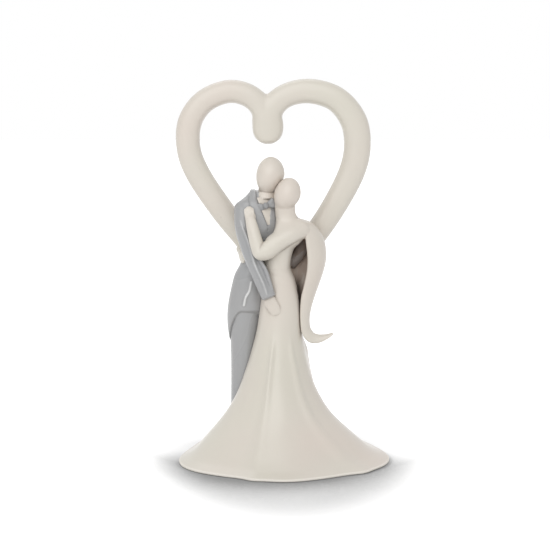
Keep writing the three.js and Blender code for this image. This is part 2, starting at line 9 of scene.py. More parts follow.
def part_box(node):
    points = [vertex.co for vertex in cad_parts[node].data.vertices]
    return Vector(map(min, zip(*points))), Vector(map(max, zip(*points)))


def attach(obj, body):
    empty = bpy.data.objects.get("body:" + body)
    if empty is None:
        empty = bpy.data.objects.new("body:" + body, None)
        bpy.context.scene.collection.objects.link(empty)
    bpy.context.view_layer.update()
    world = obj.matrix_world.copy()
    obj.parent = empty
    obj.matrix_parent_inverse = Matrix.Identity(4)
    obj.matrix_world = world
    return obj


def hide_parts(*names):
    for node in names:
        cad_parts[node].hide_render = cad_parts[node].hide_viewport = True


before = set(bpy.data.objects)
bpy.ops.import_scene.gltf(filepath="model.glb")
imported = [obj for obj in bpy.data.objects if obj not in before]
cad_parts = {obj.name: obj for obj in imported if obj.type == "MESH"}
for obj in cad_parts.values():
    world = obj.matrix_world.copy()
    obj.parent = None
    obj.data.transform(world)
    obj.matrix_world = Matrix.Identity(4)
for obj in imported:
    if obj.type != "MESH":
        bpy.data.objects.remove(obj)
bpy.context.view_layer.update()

mm = 0.001
heartPlane = 17.0  # the heart stands this far behind the couple's own origin
heartRight = 44.2  # and reaches this far to the right of it
heartLow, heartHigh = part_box("heart_right_limb")
origin = np.array([heartHigh.x / mm - heartRight, (heartLow.y + heartHigh.y) / 2 / mm - heartPlane, 0.0])
print("frame loaded, couple's origin at", origin.round(2), "mm")


# Shapes: rows of numbers into skins; everything is in millimetres until it becomes a mesh

def alongRows(rows, keys):  # cubic through rows of numbers, looked up by their first one
    rows = np.asarray(rows, float)
    key = np.clip(np.atleast_1d(np.asarray(keys, float)), rows[0, 0], rows[-1, 0])
    i = np.clip(np.searchsorted(rows[:, 0], key, side="left") - 1, 0, len(rows) - 2)
    a, b = rows[i], rows[i + 1]
    before, after = rows[np.maximum(i - 1, 0)], rows[np.minimum(i + 2, len(rows) - 1)]
    span = (b - a)[:, :1]
    t = (key - a[:, 0])[:, None] / span
    slopeIn = (b - before) / (b - before)[:, :1] * span
    slopeOut = (after - a) / (after - a)[:, :1] * span
    cubic = 2 * a - 2 * b + slopeIn + slopeOut
    square = -3 * a + 3 * b - 2 * slopeIn - slopeOut
    return ((cubic * t + square) * t + slopeIn) * t + a


def pathThrough(points, shares):  # centripetal spline through points, and its directions
    points = np.asarray(points, float)
    padded = np.vstack([2 * points[0] - points[1], points, 2 * points[-1] - points[-2]])
    place = np.asarray(shares, float) * (len(points) - 1)
    i = np.clip(np.floor(place).astype(int), 0, len(points) - 2)
    t = (place - i)[:, None]
    p0, p1, p2, p3 = (padded[i + k] for k in range(4))
    gap = lambda a, b: np.maximum(((a - b) ** 2).sum(1) ** 0.25, 1e-4)[:, None]
    d0, d1, d2 = gap(p0, p1), gap(p1, p2), gap(p2, p3)
    m1 = ((p1 - p0) / d0 - (p2 - p0) / (d0 + d1) + (p2 - p1) / d1) * d1
    m2 = ((p2 - p1) / d1 - (p3 - p1) / (d1 + d2) + (p3 - p2) / d2) * d1
    c2 = -3 * p1 + 3 * p2 - 2 * m1 - m2
    c3 = 2 * p1 - 2 * p2 + m1 + m2
    at = ((c3 * t + c2) * t + m1) * t + p1
    direction = (3 * c3 * t + 2 * c2) * t + m1
    return at, direction / np.linalg.norm(direction, axis=1)[:, None]


def smoothStep(x, low, high):
    s = np.clip((np.asarray(x, float) - low) / (high - low), 0, 1)
    return s * s * (3 - 2 * s)


def skinOver(rings):  # closed skin over rings of points, with a fan over each end
    rings = np.asarray(rings, float)
    count, sides, _ = rings.shape
    ring, side = np.meshgrid(np.arange(count - 1), np.arange(sides), indexing="ij")
    a, b = ring * sides + side, ring * sides + (side + 1) % sides
    quads = np.stack([a, b, b + sides, a + sides], -1).reshape(-1, 4).tolist()
    points = np.vstack([rings.reshape(-1, 3), rings[0].mean(0), rings[-1].mean(0)])
    first, last = count * sides, count * sides + 1
    fans = [[(s + 1) % sides, s, first] for s in range(sides)]
    top = (count - 1) * sides
    fans += [[top + s, top + (s + 1) % sides, last] for s in range(sides)]
    return points, quads + fans


def turnOf(sides):  # angles all the way round
    return np.arange(sides) / sides * 2 * math.pi


endBends = np.radians([84, 72, 58, 44, 30, 15])  # where the rings stand in a limb's rounded ends


def limb(stations, sides=36, rings=72, facing=(0, -1, 0), roundRoot=1.0, roundTip=1.0, grow=0.0):
    # a rod through rows of x, y, z, half width and, where it differs, half thickness
    stations = np.array([list(row) + [row[3]] * (5 - len(row)) for row in stations], float)
    steps = len(stations) - 1
    plain = np.zeros(rings + 1)
    t = np.concatenate([endBends * 0, np.linspace(0, 1, rings + 1), endBends * 0 + 1])
    beyond = np.concatenate([-roundRoot * np.sin(endBends), plain, roundTip * np.sin(endBends[::-1])])
    share = np.concatenate([np.cos(endBends), plain + 1, np.cos(endBends[::-1])])
    middle, direction = pathThrough(stations[:, :3], t)
    sizes = alongRows(np.column_stack([np.arange(steps + 1), stations[:, 3:]]), t * steps)[:, 1:]
    across, deep = sizes[:, 0] + grow, sizes[:, 1] + grow
    side = np.cross(direction, facing)
    side /= np.linalg.norm(side, axis=1)[:, None]
    out = np.cross(side, direction)
    middle = middle + direction * (beyond * np.minimum(across, deep))[:, None]
    u, v = np.cos(turnOf(sides)), np.sin(turnOf(sides))
    rows = (middle[:, None] + side[:, None] * (u[None] * (across * share)[:, None])[..., None]
            + out[:, None] * (v[None] * (deep * share)[:, None])[..., None])
    return skinOver(rows)


def upright(stations, turn=0.0, hem=None, sides=72, rings=90, grow=0.0):
    # ellipses stacked from a hem to the top: height, middle x, middle y, half width, half depth
    top = stations[-1][0] + grow
    angle, turned = turnOf(sides), math.radians(turn)
    foot = (hem(np.degrees(angle) + turn) if hem else np.full(sides, stations[0][0])) - grow
    rows = []
    for share in np.linspace(0, 1, rings + 1):
        z = foot + (top - foot) * share
        _, x, y, halfWidth, halfDepth = alongRows(stations, z).T
        u, v = (halfWidth + grow) * np.cos(angle), (halfDepth + grow) * np.sin(angle)
        rows.append(np.column_stack([x + u * math.cos(turned) - v * math.sin(turned),
                                     y + u * math.sin(turned) + v * math.cos(turned), z]))
    return skinOver(rows)


def eggHead(head, sides=48, rings=40, grow=0.0):  # an egg that narrows towards the chin and leans
    angle = turnOf(sides)
    halfWidth, halfDepth, halfTall = (half + grow for half in head["half"])
    rows = []
    for bend in np.radians(np.linspace(-88, 88, rings)):  # the fans close the rest
        level = math.sin(bend)
        low = float(smoothStep(-level, -head["narrowFrom"], 1))
        flat = math.cos(bend) * (1 - head["chin"] * low)
        rows.append(np.column_stack([halfWidth * flat * np.cos(angle) + head["jaw"] * low,
                                     halfDepth * flat * np.sin(angle), np.full(sides, halfTall * level)]))
    rows = np.array(rows)
    lean = math.radians(head["lean"])
    x, z = rows[..., 0].copy(), rows[..., 2].copy()
    rows[..., 0] = x * math.cos(lean) + z * math.sin(lean)
    rows[..., 2] = z * math.cos(lean) - x * math.sin(lean)
    return skinOver(rows + np.array(head["middle"]))


hand = {  # one form for all four hands: three lengths in millimetres, then shares
    "length": 7.6, "width": 4.4, "thickness": 2.1, "palmShare": 0.52,
    "reach": [0.78, 1, 0.97, 0.76],  # how far each finger goes
    "close": 0.78, "fill": 0.74,  # how far the fingers lie closed, and how thick they are there
    "fingerThick": 0.6, "thumbThick": 0.62, "thumbReach": 0.95,
}


def handParts(place):  # a palm, fingers lying close together, and a thumb
    unit = lambda v: v / np.linalg.norm(v)
    wrist = np.array(place["wrist"])
    toward = unit(np.array(place["toward"]) - wrist)
    across = unit(np.cross(toward, unit(np.array(place["palm"], float))))
    inward = unit(np.cross(across, toward))
    length, halfWidth = hand["length"] * place["size"], hand["width"] / 2 * place["size"]
    halfThick = hand["thickness"] / 2 * place["size"]
    knuckles = length * hand["palmShare"]
    # a station: how far across, inwards and along the hand, and its half width and half thickness
    row = lambda u, v, w, wide, thick: [*(wrist + across * u + inward * v + toward * w), wide, thick]
    form = {"sides": 20, "rings": 14, "facing": tuple(inward), "grow": place["grow"]}
    parts = [limb([
        row(0, 0, -0.18 * length, halfWidth * 0.7, halfThick * 1.1),
        row(0, 0, knuckles * 0.55, halfWidth * 0.96, halfThick * 1.05),
        row(0, 0, knuckles * 1.05, halfWidth * 0.98, halfThick * 0.9)], **form)]
    closed = knuckles + (length - knuckles) * place.get("close", hand["close"])
    parts.append(limb([
        row(0, 0, knuckles * 0.7, halfWidth * 0.98, halfThick * 0.96),
        row(0, halfThick * 0.2, closed, halfWidth * 0.95, halfThick * place.get("fill", hand["fill"]))],
        **form))  # the fingers lie close, with only their ends apart
    pitch = 2 * halfWidth / len(hand["reach"])
    finger, thumb = pitch * hand["fingerThick"], pitch * hand["thumbThick"]
    for i, share in enumerate(hand["reach"]):
        u = -halfWidth + pitch * (i + 0.5)
        tip = knuckles + (length - knuckles) * share
        parts.append(limb([
            row(u * 0.92, 0, knuckles * 0.8, finger, halfThick * 0.8),
            row(u, halfThick * 0.1, (knuckles + tip) / 2, finger, halfThick * 0.8),
            row(u * 0.96, halfThick * 0.4, tip, finger * 0.9, halfThick * 0.7)], **form))
    beside = -halfWidth * hand["thumbReach"]
    parts.append(limb([
        row(-halfWidth * 0.55, 0, knuckles * 0.2, thumb, thumb),
        row(beside, halfThick * 0.2, knuckles * 0.7, thumb, thumb),
        row(beside, halfThick * 0.5, knuckles * 1.1, thumb * 0.8, thumb * 0.8)], **form))
    return parts


# Meshes: skins into objects, in metres

def linked(name, data):  # an object of its own in the scene
    thing = bpy.data.objects.new(name, data)
    bpy.context.scene.collection.objects.link(thing)
    return thing


def meshObject(name, points, faces):
    mesh = bpy.data.meshes.new(name)
    mesh.from_pydata(((np.asarray(points) + origin) * mm).tolist(), [], faces)
    return linked(name, mesh)


def setFields(mesh, fields):  # numbers kept on the points, for node trees and materials to read
    for name, values in fields.items():
        mesh.attributes.new(name, "FLOAT", "POINT").data.foreach_set("value", values.astype(np.float32))


def joinSkins(skins):
    points, faces, start = [], [], 0
    for skinPoints, skinFaces in skins:
        points.append(skinPoints)
        faces += [[i + start for i in face] for face in skinFaces]
        start += len(skinPoints)
    return np.vstack(points), faces


def plainMesh(thing, shade=True):  # what the modifiers make, as a mesh of its own
    seen = thing.evaluated_get(bpy.context.evaluated_depsgraph_get())
    made = bpy.data.meshes.new_from_object(seen)
    old = thing.data
    thing.modifiers.clear()
    thing.data = made
    made.name = thing.name
    bpy.data.meshes.remove(old)
    if shade:
        made.shade_smooth()
    return thing


skinning = {  # voxel in millimetres and rounds of softening, for each piece that is luted together
    "bride": (0.34, 9), "groomJacket": (0.36, 4), "trousers": (0.42, 5), "groomHead": (0.3, 6),
    "groomNearHand": (0.24, 22), "groomFarHand": (0.26, 5), "bowTie": (0.2, 4),
}


def fused(name, skins):  # luted pieces under one skin of glaze
    voxel, rounds = skinning[name]
    thing = meshObject(name, *joinSkins(skins))
    remesh = thing.modifiers.new("lute", "REMESH")
    remesh.mode = "VOXEL"
    remesh.voxel_size = voxel * mm
    soften = thing.modifiers.new("soften", "SMOOTH")
    soften.factor = 0.5
    soften.iterations = rounds
    plainMesh(thing)
    print("fused", name, len(thing.data.polygons), "faces")
    return thing


def neighbourMean(mesh):  # gives each point the mean of what its neighbours hold
    count = len(mesh.vertices)
    ends = np.zeros(len(mesh.edges) * 2, np.int32)
    mesh.edges.foreach_get("vertices", ends)
    a, b = ends.reshape(-1, 2).T
    ways = np.maximum(np.bincount(a, minlength=count) + np.bincount(b, minlength=count), 1)
    return lambda values: (np.bincount(a, values[b], count) + np.bincount(b, values[a], count)) / ways


def pointsOf(mesh, what="co"):
    values = np.zeros(len(mesh.vertices) * 3, np.float32)
    mesh.vertices.foreach_get(what, values)
    return values.reshape(-1, 3).astype(float)


def meanPlace(mean, co):  # where each point's neighbours lie on average
    return np.column_stack([mean(co[:, k]) for k in range(3)])


def wiped(thing, spots):  # a joint wiped smooth with a sponge: x, y, z, radius and rounds
    co, mean = pointsOf(thing.data), neighbourMean(thing.data)
    for x, y, z, radius, rounds in spots:
        away = np.linalg.norm(co / mm - origin - [x, y, z], axis=1)
        weight = 0.5 * smoothStep(1 - away / radius, 0.0, 0.5)[:, None]
        for _ in range(rounds):
            co += weight * (meanPlace(mean, co) - co)
    thing.data.vertices.foreach_set("co", co.astype(np.float32).ravel())
    thing.data.update()
    return thing


# Node helpers

def setInputs(tree, node, values):  # links what is a socket, and sets what is a plain value
    for key, value in values.items():
        if isinstance(value, bpy.types.NodeSocket):
            tree.links.new(value, node.inputs[key])
        else:
            node.inputs[key].default_value = value


def addNode(tree, kind, inputs=None, **settings):
    node = tree.nodes.new(kind)
    for key, value in settings.items():
        setattr(node, key, value)
    setInputs(tree, node, inputs or {})
    return node


def result(tree, kind, inputs=None, **settings):  # a node's first output
    return addNode(tree, kind, inputs, **settings).outputs[0]


def calc(tree, operation, *values):  # one math node
    return result(tree, "ShaderNodeMath", dict(enumerate(values)), operation=operation)


def times(tree, a, b):
    return calc(tree, "MULTIPLY", a, b)


def plus(tree, a, b):
    return calc(tree, "ADD", a, b)


def minus(tree, a, b):
    return calc(tree, "SUBTRACT", a, b)


def liveSocket(sockets, name):  # some nodes keep one hidden socket of a name for each data type
    return next(socket for socket in sockets if socket.enabled and socket.name == name)


def newGroup(name, kind, inputs, outputs):
    tree = bpy.data.node_groups.new(name, kind)
    for side, sockets in (("INPUT", inputs), ("OUTPUT", outputs)):
        for label, (socketType, value) in sockets.items():
            socket = tree.interface.new_socket(label, in_out=side, socket_type="NodeSocket" + socketType)
            if value is not None:
                socket.default_value = value
    return tree, tree.nodes.new("NodeGroupInput").outputs, tree.nodes.new("NodeGroupOutput")


def runTree(thing, tree, values):  # sets the tree's named inputs, and keeps what it makes
    modifier = thing.modifiers.new(tree.name, "NODES")
    modifier.node_group = tree
    for item in tree.interface.items_tree:
        if item.item_type == "SOCKET" and item.in_out == "INPUT" and item.name in values:
            modifier[item.identifier] = values[item.name]
    plainMesh(thing, shade=False)
    print("made", thing.name, len(thing.data.polygons), "faces")
    return thing


def namedField(tree, name):  # what setFields kept, for a tree that makes a mesh
    return result(tree, "GeometryNodeInputNamedAttribute", {"Name": name}, data_type="FLOAT")


def splitXYZ(tree, vector):
    return addNode(tree, "ShaderNodeSeparateXYZ", {"Vector": vector}).outputs


def joinXYZ(tree, *values):
    return result(tree, "ShaderNodeCombineXYZ", dict(enumerate(values)))


def glazedMesh(tree, geometry, material):  # the last nodes of a tree
    for kind in ("GeometryNodeSetShadeSmooth", "GeometryNodeRealizeInstances"):
        geometry = result(tree, kind, {"Geometry": geometry})
    return result(tree, "GeometryNodeSetMaterial", {"Geometry": geometry, "Material": material})


def blendColour(tree, share, a, b):  # from colour a to colour b by a share
    return addNode(tree, "ShaderNodeMix", {0: share, 6: a, 7: b}, data_type="RGBA").outputs[2]


def stretch(tree, value, fromMin, fromMax, toMin=0.0, toMax=1.0):
    return result(tree, "ShaderNodeMapRange", {
        "Value": value, "From Min": fromMin, "From Max": fromMax, "To Min": toMin, "To Max": toMax},
        interpolation_type="SMOOTHSTEP")


# Glazes

glazes = {
    # thin_and_lit pales edges and folds, partly thin glaze and partly painted highlight; pooled_and_shaded
    # darkens creases and pinholes, partly pooled glaze and partly painted shade; shaded is painted shade in
    # a closed-in space
    "cream": {
        "colour": (0.677, 0.631, 0.560), "thin_and_lit": (0.80, 0.75, 0.68), "pooled_and_shaded": (0.36, 0.31, 0.265),
        "warm": (0.700, 0.608, 0.546), "cool": (0.660, 0.636, 0.548), "shaded": (0.54, 0.44, 0.37),
        "patches": 0.55, "gloss": 0.33},
    "grey": {
        "colour": (0.362, 0.365, 0.369), "thin_and_lit": (0.82, 0.82, 0.81), "pooled_and_shaded": (0.190, 0.194, 0.200),
        "warm": (0.376, 0.367, 0.362), "cool": (0.342, 0.355, 0.366), "shaded": (0.205, 0.155, 0.125),
        "patches": 0.5, "gloss": 0.27},
    "deep": (0.075, 0.055, 0.042),  # painted deep shade, where a closed-in wall also touches its neighbour
    "bare": (0.90, 0.86, 0.79),  # bare clay where the foot was wiped clean, light enough to stand as a painted highlight along the hem's lip
    "bareHeight": (0.0016, 0.0010), "bareShare": 0.85,  # metres above the floor, from glazed to bare
    "coat": 0.28, "coatRoughness": 0.24, "bending": 1.5,  # bending is the glaze's index of refraction
    "ripple": 0.00006,  # metres, how far the glaze waves
    "patch": (26.0, 0.6), "grain": (210.0, 3.0), "rare": (95.0, 1.0), "wave": (120.0, 2.0),  # scale, detail
    "tints": {"Warm": (0.44, 0.78), "Cool": (0.54, 0.22)},  # the part of the patches that takes each tint
    "edgeGrain": 0.5, "thinAndLitFrom": (0.25, 0.95), "thinAndLitShare": 0.75,  # how raggedly the glaze breaks over edges, and how strongly edges and folds pale, partly thin glaze and partly painted highlight
    "creaseShare": 0.8,
    "specks": 260.0, "speckSize": (0.10, 0.04), "speckRare": (0.62, 0.70),  # pinholes, a few in some places
    "speckShare": 0.35, "speckDip": 0.5,
    "patchGloss": 0.16, "mat": 0.45,  # roughness that patches, and bare or closed-in places, add
}
tones = ("Colour", "Thin_and_lit", "Pooled_and_shaded", "Warm", "Cool", "Shaded")


def makeGlazeTone():
    tree, given, out = newGroup("glazeTone", "ShaderNodeTree", {
        **{label: ("Color", None) for label in tones},
        "Patches": ("Float", 0.5), "Gloss": ("Float", 0.3), "Coat": ("Float", 0.35),
    }, {"Colour": ("Color", None), **{label: ("Float", None) for label in ("Roughness", "Coat", "Height")}})
    place = addNode(tree, "ShaderNodeTexCoord").outputs["Object"]
    crease, edge, recess = (addNode(tree, "ShaderNodeAttribute", attribute_name=name).outputs["Fac"]
                            for name in ("crease", "edge", "recess"))
    noise = lambda name: result(tree, "ShaderNodeTexNoise", {
        "Vector": place, "Scale": glazes[name][0], "Detail": glazes[name][1]})
    patch = noise("patch")
    tone = given["Colour"]
    for label, span in glazes["tints"].items():
        tint = times(tree, stretch(tree, patch, *span), given["Patches"])
        tone = blendColour(tree, tint, tone, given[label])
    broken = plus(tree, edge, times(tree, minus(tree, noise("grain"), 0.5), glazes["edgeGrain"]))
    thin_and_lit = times(tree, stretch(tree, broken, *glazes["thinAndLitFrom"]), glazes["thinAndLitShare"])
    # paler over edges and folds: thin glaze and painted highlight
    tone = blendColour(tree, thin_and_lit, tone, given["Thin_and_lit"])
    # darker in creases and where pieces meet: pooled glaze and painted shade
    tone = blendColour(tree, times(tree, crease, glazes["creaseShare"]), tone, given["Pooled_and_shaded"])
    # painted shade where the space behind the shawl closes in
    tone = blendColour(tree, recess, tone, given["Shaded"])
    # painted deep shade where closed-in walls also touch their neighbour
    tone = blendColour(tree, times(tree, recess, crease), tone, (*glazes["deep"], 1))
    speck = result(tree, "ShaderNodeTexVoronoi", {"Vector": place, "Scale": glazes["specks"]})
    dots = times(tree, stretch(tree, speck, *glazes["speckSize"]),
                 stretch(tree, noise("rare"), *glazes["speckRare"]))
    tone = blendColour(tree, times(tree, dots, glazes["speckShare"]), tone, given["Pooled_and_shaded"])
    # bare clay at the foot, light enough to paint the highlight along the hem's lip
    bare = stretch(tree, splitXYZ(tree, place)["Z"], *glazes["bareHeight"])
    tone = blendColour(tree, times(tree, bare, glazes["bareShare"]), tone, (*glazes["bare"], 1))
    rough = plus(tree, given["Gloss"], times(tree, minus(tree, patch, 0.5), glazes["patchGloss"]))
    rough = plus(tree, rough, times(tree, calc(tree, "MAXIMUM", bare, recess), glazes["mat"]))
    setInputs(tree, out, {
        "Colour": tone, "Roughness": rough, "Coat": times(tree, given["Coat"], minus(tree, 1.0, recess)),
        "Height": minus(tree, noise("wave"), times(tree, dots, glazes["speckDip"]))})
    return tree


glazeTone = makeGlazeTone()


def makeGlaze(name):
    look = glazes[name]
    material = bpy.data.materials.new(name + "Glaze")
    material.use_nodes = True
    tree = material.node_tree
    tone = addNode(tree, "ShaderNodeGroup", {
        **{label: (*look[label.lower()], 1) for label in tones}, "Patches": look["patches"],
        "Gloss": look["gloss"], "Coat": glazes["coat"]}, node_tree=glazeTone).outputs
    ripple = result(tree, "ShaderNodeBump", {
        "Strength": 1.0, "Distance": glazes["ripple"], "Height": tone["Height"]})
    setInputs(tree, tree.nodes["Principled BSDF"], {
        "Base Color": tone["Colour"], "Roughness": tone["Roughness"], "Normal": ripple,
        "Coat Weight": tone["Coat"], "Coat Roughness": glazes["coatRoughness"], "IOR": glazes["bending"]})
    return material


creamGlaze, greyGlaze = makeGlaze("cream"), makeGlaze("grey")
print("glazes made")


# The gown's skirt: one hollow trumpet with folds, made by a node tree

gown = {
    "stations": [  # height, middle x, middle y, half width, half depth
        [0, 0, 0, 47.2, 47.2], [3, -0.6, 0, 41.6, 41.4], [8, -1.4, 0, 36.4, 36.2],
        [20.5, -2.7, -0.2, 25.8, 25.4], [29, -2.9, -0.4, 20.8, 20.2], [39, -3, -0.8, 17, 16.2],
        [61.5, -2.3, -1.6, 11.7, 10.8], [79.5, -1.6, -2.2, 9.6, 8.2], [89, -1.9, -2.3, 7.9, 6.9],
        [97, -3.1, -2.4, 6.6, 6.1]],
    "tuckedIn": [91.5, 96.5], "tuck": 0.45,  # where the waist closes over the skirt's upper end
    "wall": 3.0, "rimWall": 0.8,  # the rim is a little thinner than the wall
    "hemLip": 1.1, "rimRound": (0.45, 0.5),  # share of the lip that is rounded, and how deep
    "hollowTop": 78.0, "kneeTop": 66.0, "kneeFoot": 52.0,
    "folds": [  # direction at the hem and at the knee, reach at the hem and at the knee, half width
        [-156, -165, 7.8, 0.3, 26], [-108, -104, 1.4, 1.2, 5.5], [-90, -88, 1.9, 0.3, 17],
        [-40, -60, 1.7, 0.8, 6.5], [-17, -14, 7.4, 0.3, 26], [42, 24, 1.0, 2.6, 15],
        [86, 84, 4.2, 0.3, 19], [134, 138, 3.6, 0.3, 19]],
    "sides": 240, "outsideRings": 120, "insideRings": 60, "rimRings": 8,
    "outsideCrowd": 1.6, "insideCrowd": 1.5,  # how much the rings crowd at the foot
}


def makeFoldGroup():
    tree, given, out = newGroup("skirtFold", "GeometryNodeTree", {
        "Angle": ("Float", None), "Flare": ("Float", None), "Shown": ("Float", None),
        "At Hem": ("Float", 0.0), "At Knee": ("Float", 0.0), "Hem Reach": ("Float", 1.0),
        "Knee Reach": ("Float", 1.0), "Half Width": ("Float", 20.0)}, {"Push": ("Float", None)})
    turn = times(tree, minus(tree, given["At Hem"], given["At Knee"]), calc(tree, "SQRT", given["Flare"]))
    off = minus(tree, given["Angle"], plus(tree, given["At Knee"], turn))
    off = calc(tree, "DIVIDE", calc(tree, "WRAP", off, 180.0, -180.0), given["Half Width"])
    fade = calc(tree, "EXPONENT", times(tree, times(tree, off, off), -1.0))
    knee = times(tree, times(tree, given["Knee Reach"], given["Shown"]), minus(tree, 1.0, given["Flare"]))
    reach = plus(tree, times(tree, given["Hem Reach"], given["Flare"]), knee)
    setInputs(tree, out, {"Push": times(tree, reach, fade)})
    return tree


def makeSkirtTree():
    tree, given, out = newGroup("foldedSkirt", "GeometryNodeTree", {
        "Rings": ("Geometry", None), "Sides": ("Int", 120), "Fold Depth": ("Float", 1.0),
        "Material": ("Material", None)}, {"Skirt": ("Geometry", None)})
    around = plus(tree, given["Sides"], 1.0)  # the last column lies on the first, and is merged with it
    count = result(tree, "GeometryNodeAttributeDomainSize", {"Geometry": given["Rings"]})
    grid = result(tree, "GeometryNodeMeshGrid", {"Vertices X": count, "Vertices Y": around})
    index = result(tree, "GeometryNodeInputIndex")
    ring = calc(tree, "FLOOR", calc(tree, "DIVIDE", plus(tree, index, 0.5), around))
    side = minus(tree, index, times(tree, ring, around))
    angle = calc(tree, "DIVIDE", times(tree, side, 360.0), given["Sides"])

    def ofRing(name):
        return result(tree, "GeometryNodeSampleIndex", {
            "Geometry": given["Rings"], "Value": namedField(tree, name), "Index": ring}, data_type="FLOAT")

    foldGroup = makeFoldGroup()
    push, flare, shown = 0.0, ofRing("flare"), ofRing("shown")
    for atHem, atKnee, hemReach, kneeReach, halfWidth in gown["folds"]:
        push = plus(tree, push, result(tree, "GeometryNodeGroup", {
            "Angle": angle, "Flare": flare, "Shown": shown, "At Hem": atHem, "At Knee": atKnee,
            "Hem Reach": hemReach, "Knee Reach": kneeReach, "Half Width": halfWidth}, node_tree=foldGroup))
    push = plus(tree, times(tree, push, given["Fold Depth"]), ofRing("outwards"))
    radians, opened = calc(tree, "RADIANS", angle), ofRing("open")
    axes = []
    for middle, half, wave in (("middleX", "halfWidth", "COSINE"), ("middleY", "halfDepth", "SINE")):
        reach = times(tree, plus(tree, ofRing(half), push), calc(tree, wave, radians))
        axes.append(times(tree, plus(tree, ofRing(middle), times(tree, reach, opened)), mm))
    position = joinXYZ(tree, *axes, times(tree, ofRing("height"), mm))
    placed = result(tree, "GeometryNodeSetPosition", {"Geometry": grid, "Position": position})
    closed = result(tree, "GeometryNodeMergeByDistance", {"Geometry": placed, "Distance": 1e-7})
    setInputs(tree, out, {"Skirt": glazedMesh(tree, closed, given["Material"])})
    return tree


def makeSkirt():
    rows, lip, wall, hollowTop = (gown[key] for key in ("stations", "hemLip", "wall", "hollowTop"))
    top = rows[-1][0]
    outside = lip + (top - lip) * (1 - np.linspace(0, 1, gown["outsideRings"])) ** gown["outsideCrowd"]
    inside = hollowTop * np.linspace(0, 1, gown["insideRings"]) ** gown["insideCrowd"]
    tucked = -gown["tuck"] * smoothStep(outside, *gown["tuckedIn"])
    rimTall, rimDeep = lip * gown["rimRound"][0], gown["rimRound"][1]
    levels = [  # height, height of its outline, how far it stands out, open or drawn to a point
        (top, top - lip, 0.0, 0.0),
        *((z, z - lip, push, 1.0) for z, push in zip(outside, tucked)),
        *((rimTall * (1 - math.sin(a)), 0.0, -rimDeep * (1 - math.cos(a)), 1.0)
          for a in np.radians(np.linspace(0, 90, gown["rimRings"]))),
        (0.0, 0.0, -wall * gown["rimWall"], 1.0),
        *((z, z, -wall, 1.0) for z in inside[1:]),
        (hollowTop, hollowTop, -wall, 0.0)]
    height, outline, outwards, opened = np.array(levels).T
    outline = np.maximum(outline, 0)
    at = alongRows(rows, outline)
    knee, hem = alongRows(rows, gown["kneeFoot"])[0, 3], rows[0][3]
    flare = np.maximum(0, (at[:, 3] - knee) / (hem - knee))
    shown = smoothStep(gown["kneeTop"] - outline, 0, gown["kneeTop"] - gown["kneeFoot"])
    rise = 0.5
    slope = (alongRows(rows, outline + rise)[:, 3] - at[:, 3]) / rise
    onWall = (outwards < 0) & ((outwards <= -wall) | (height > rimTall * 1.01))
    slope = np.where(onWall, np.hypot(1, slope), 1)  # a sloping wall is as thick as an upright one
    mesh = bpy.data.meshes.new("gownSkirt")
    mesh.from_pydata([(0, 0, z * mm) for z in height], [(i, i + 1) for i in range(len(height) - 1)], [])
    setFields(mesh, {
        "height": height, "middleX": at[:, 1] + origin[0], "middleY": at[:, 2] + origin[1],
        "halfWidth": at[:, 3], "halfDepth": at[:, 4], "outwards": outwards * slope,
        "flare": flare, "shown": shown, "open": opened})
    return runTree(linked("gownSkirt", mesh), makeSkirtTree(), {
        "Sides": gown["sides"], "Fold Depth": 1.0, "Material": creamGlaze})


gownSkirt = makeSkirt()


# The heart: two limbs swept along their paths and luted together, made by a node tree

heart = {
    "plane": heartPlane, "halfDepth": 5.6, "thinnest": 5.0, "square": 2.4, "sides": 40, "pathPoints": 150,
    "endBends": [80, 65, 50, 35, 20], "voxel": 0.5, "band": 2.0, "threshold": 0.1, "softening": 10,
    "left": [  # x, z, half width
        [-9.6, 167.5, 5.2], [-10.4, 173.4, 5.8], [-13.5, 178.3, 6.0], [-19.2, 182.0, 6.0],
        [-27.6, 183.3, 6.0], [-39.9, 178.2, 6.1], [-47.0, 168.0, 6.3], [-47.7, 154.4, 6.3],
        [-43.8, 143.2, 6.4], [-30.9, 123.3, 6.3], [-17.0, 105.6, 6.1], [-7.0, 90.0, 5.8], [-4.2, 83.2, 5.5]],
    "right": [
        [-7.8, 164.6, 8.1], [-7.8, 171.4, 7.8], [-4.8, 176.5, 6.5], [1.6, 181.4, 6.2], [12.8, 183.5, 6.4],
        [26.4, 179.4, 6.6], [35.2, 168.6, 7.0], [37.2, 156.0, 7.0], [34.9, 144.0, 6.9],
        [24.6, 123.6, 6.5], [12.2, 105.6, 6.2], [1.8, 92.0, 5.9], [-1.4, 85.4, 5.4]],
}


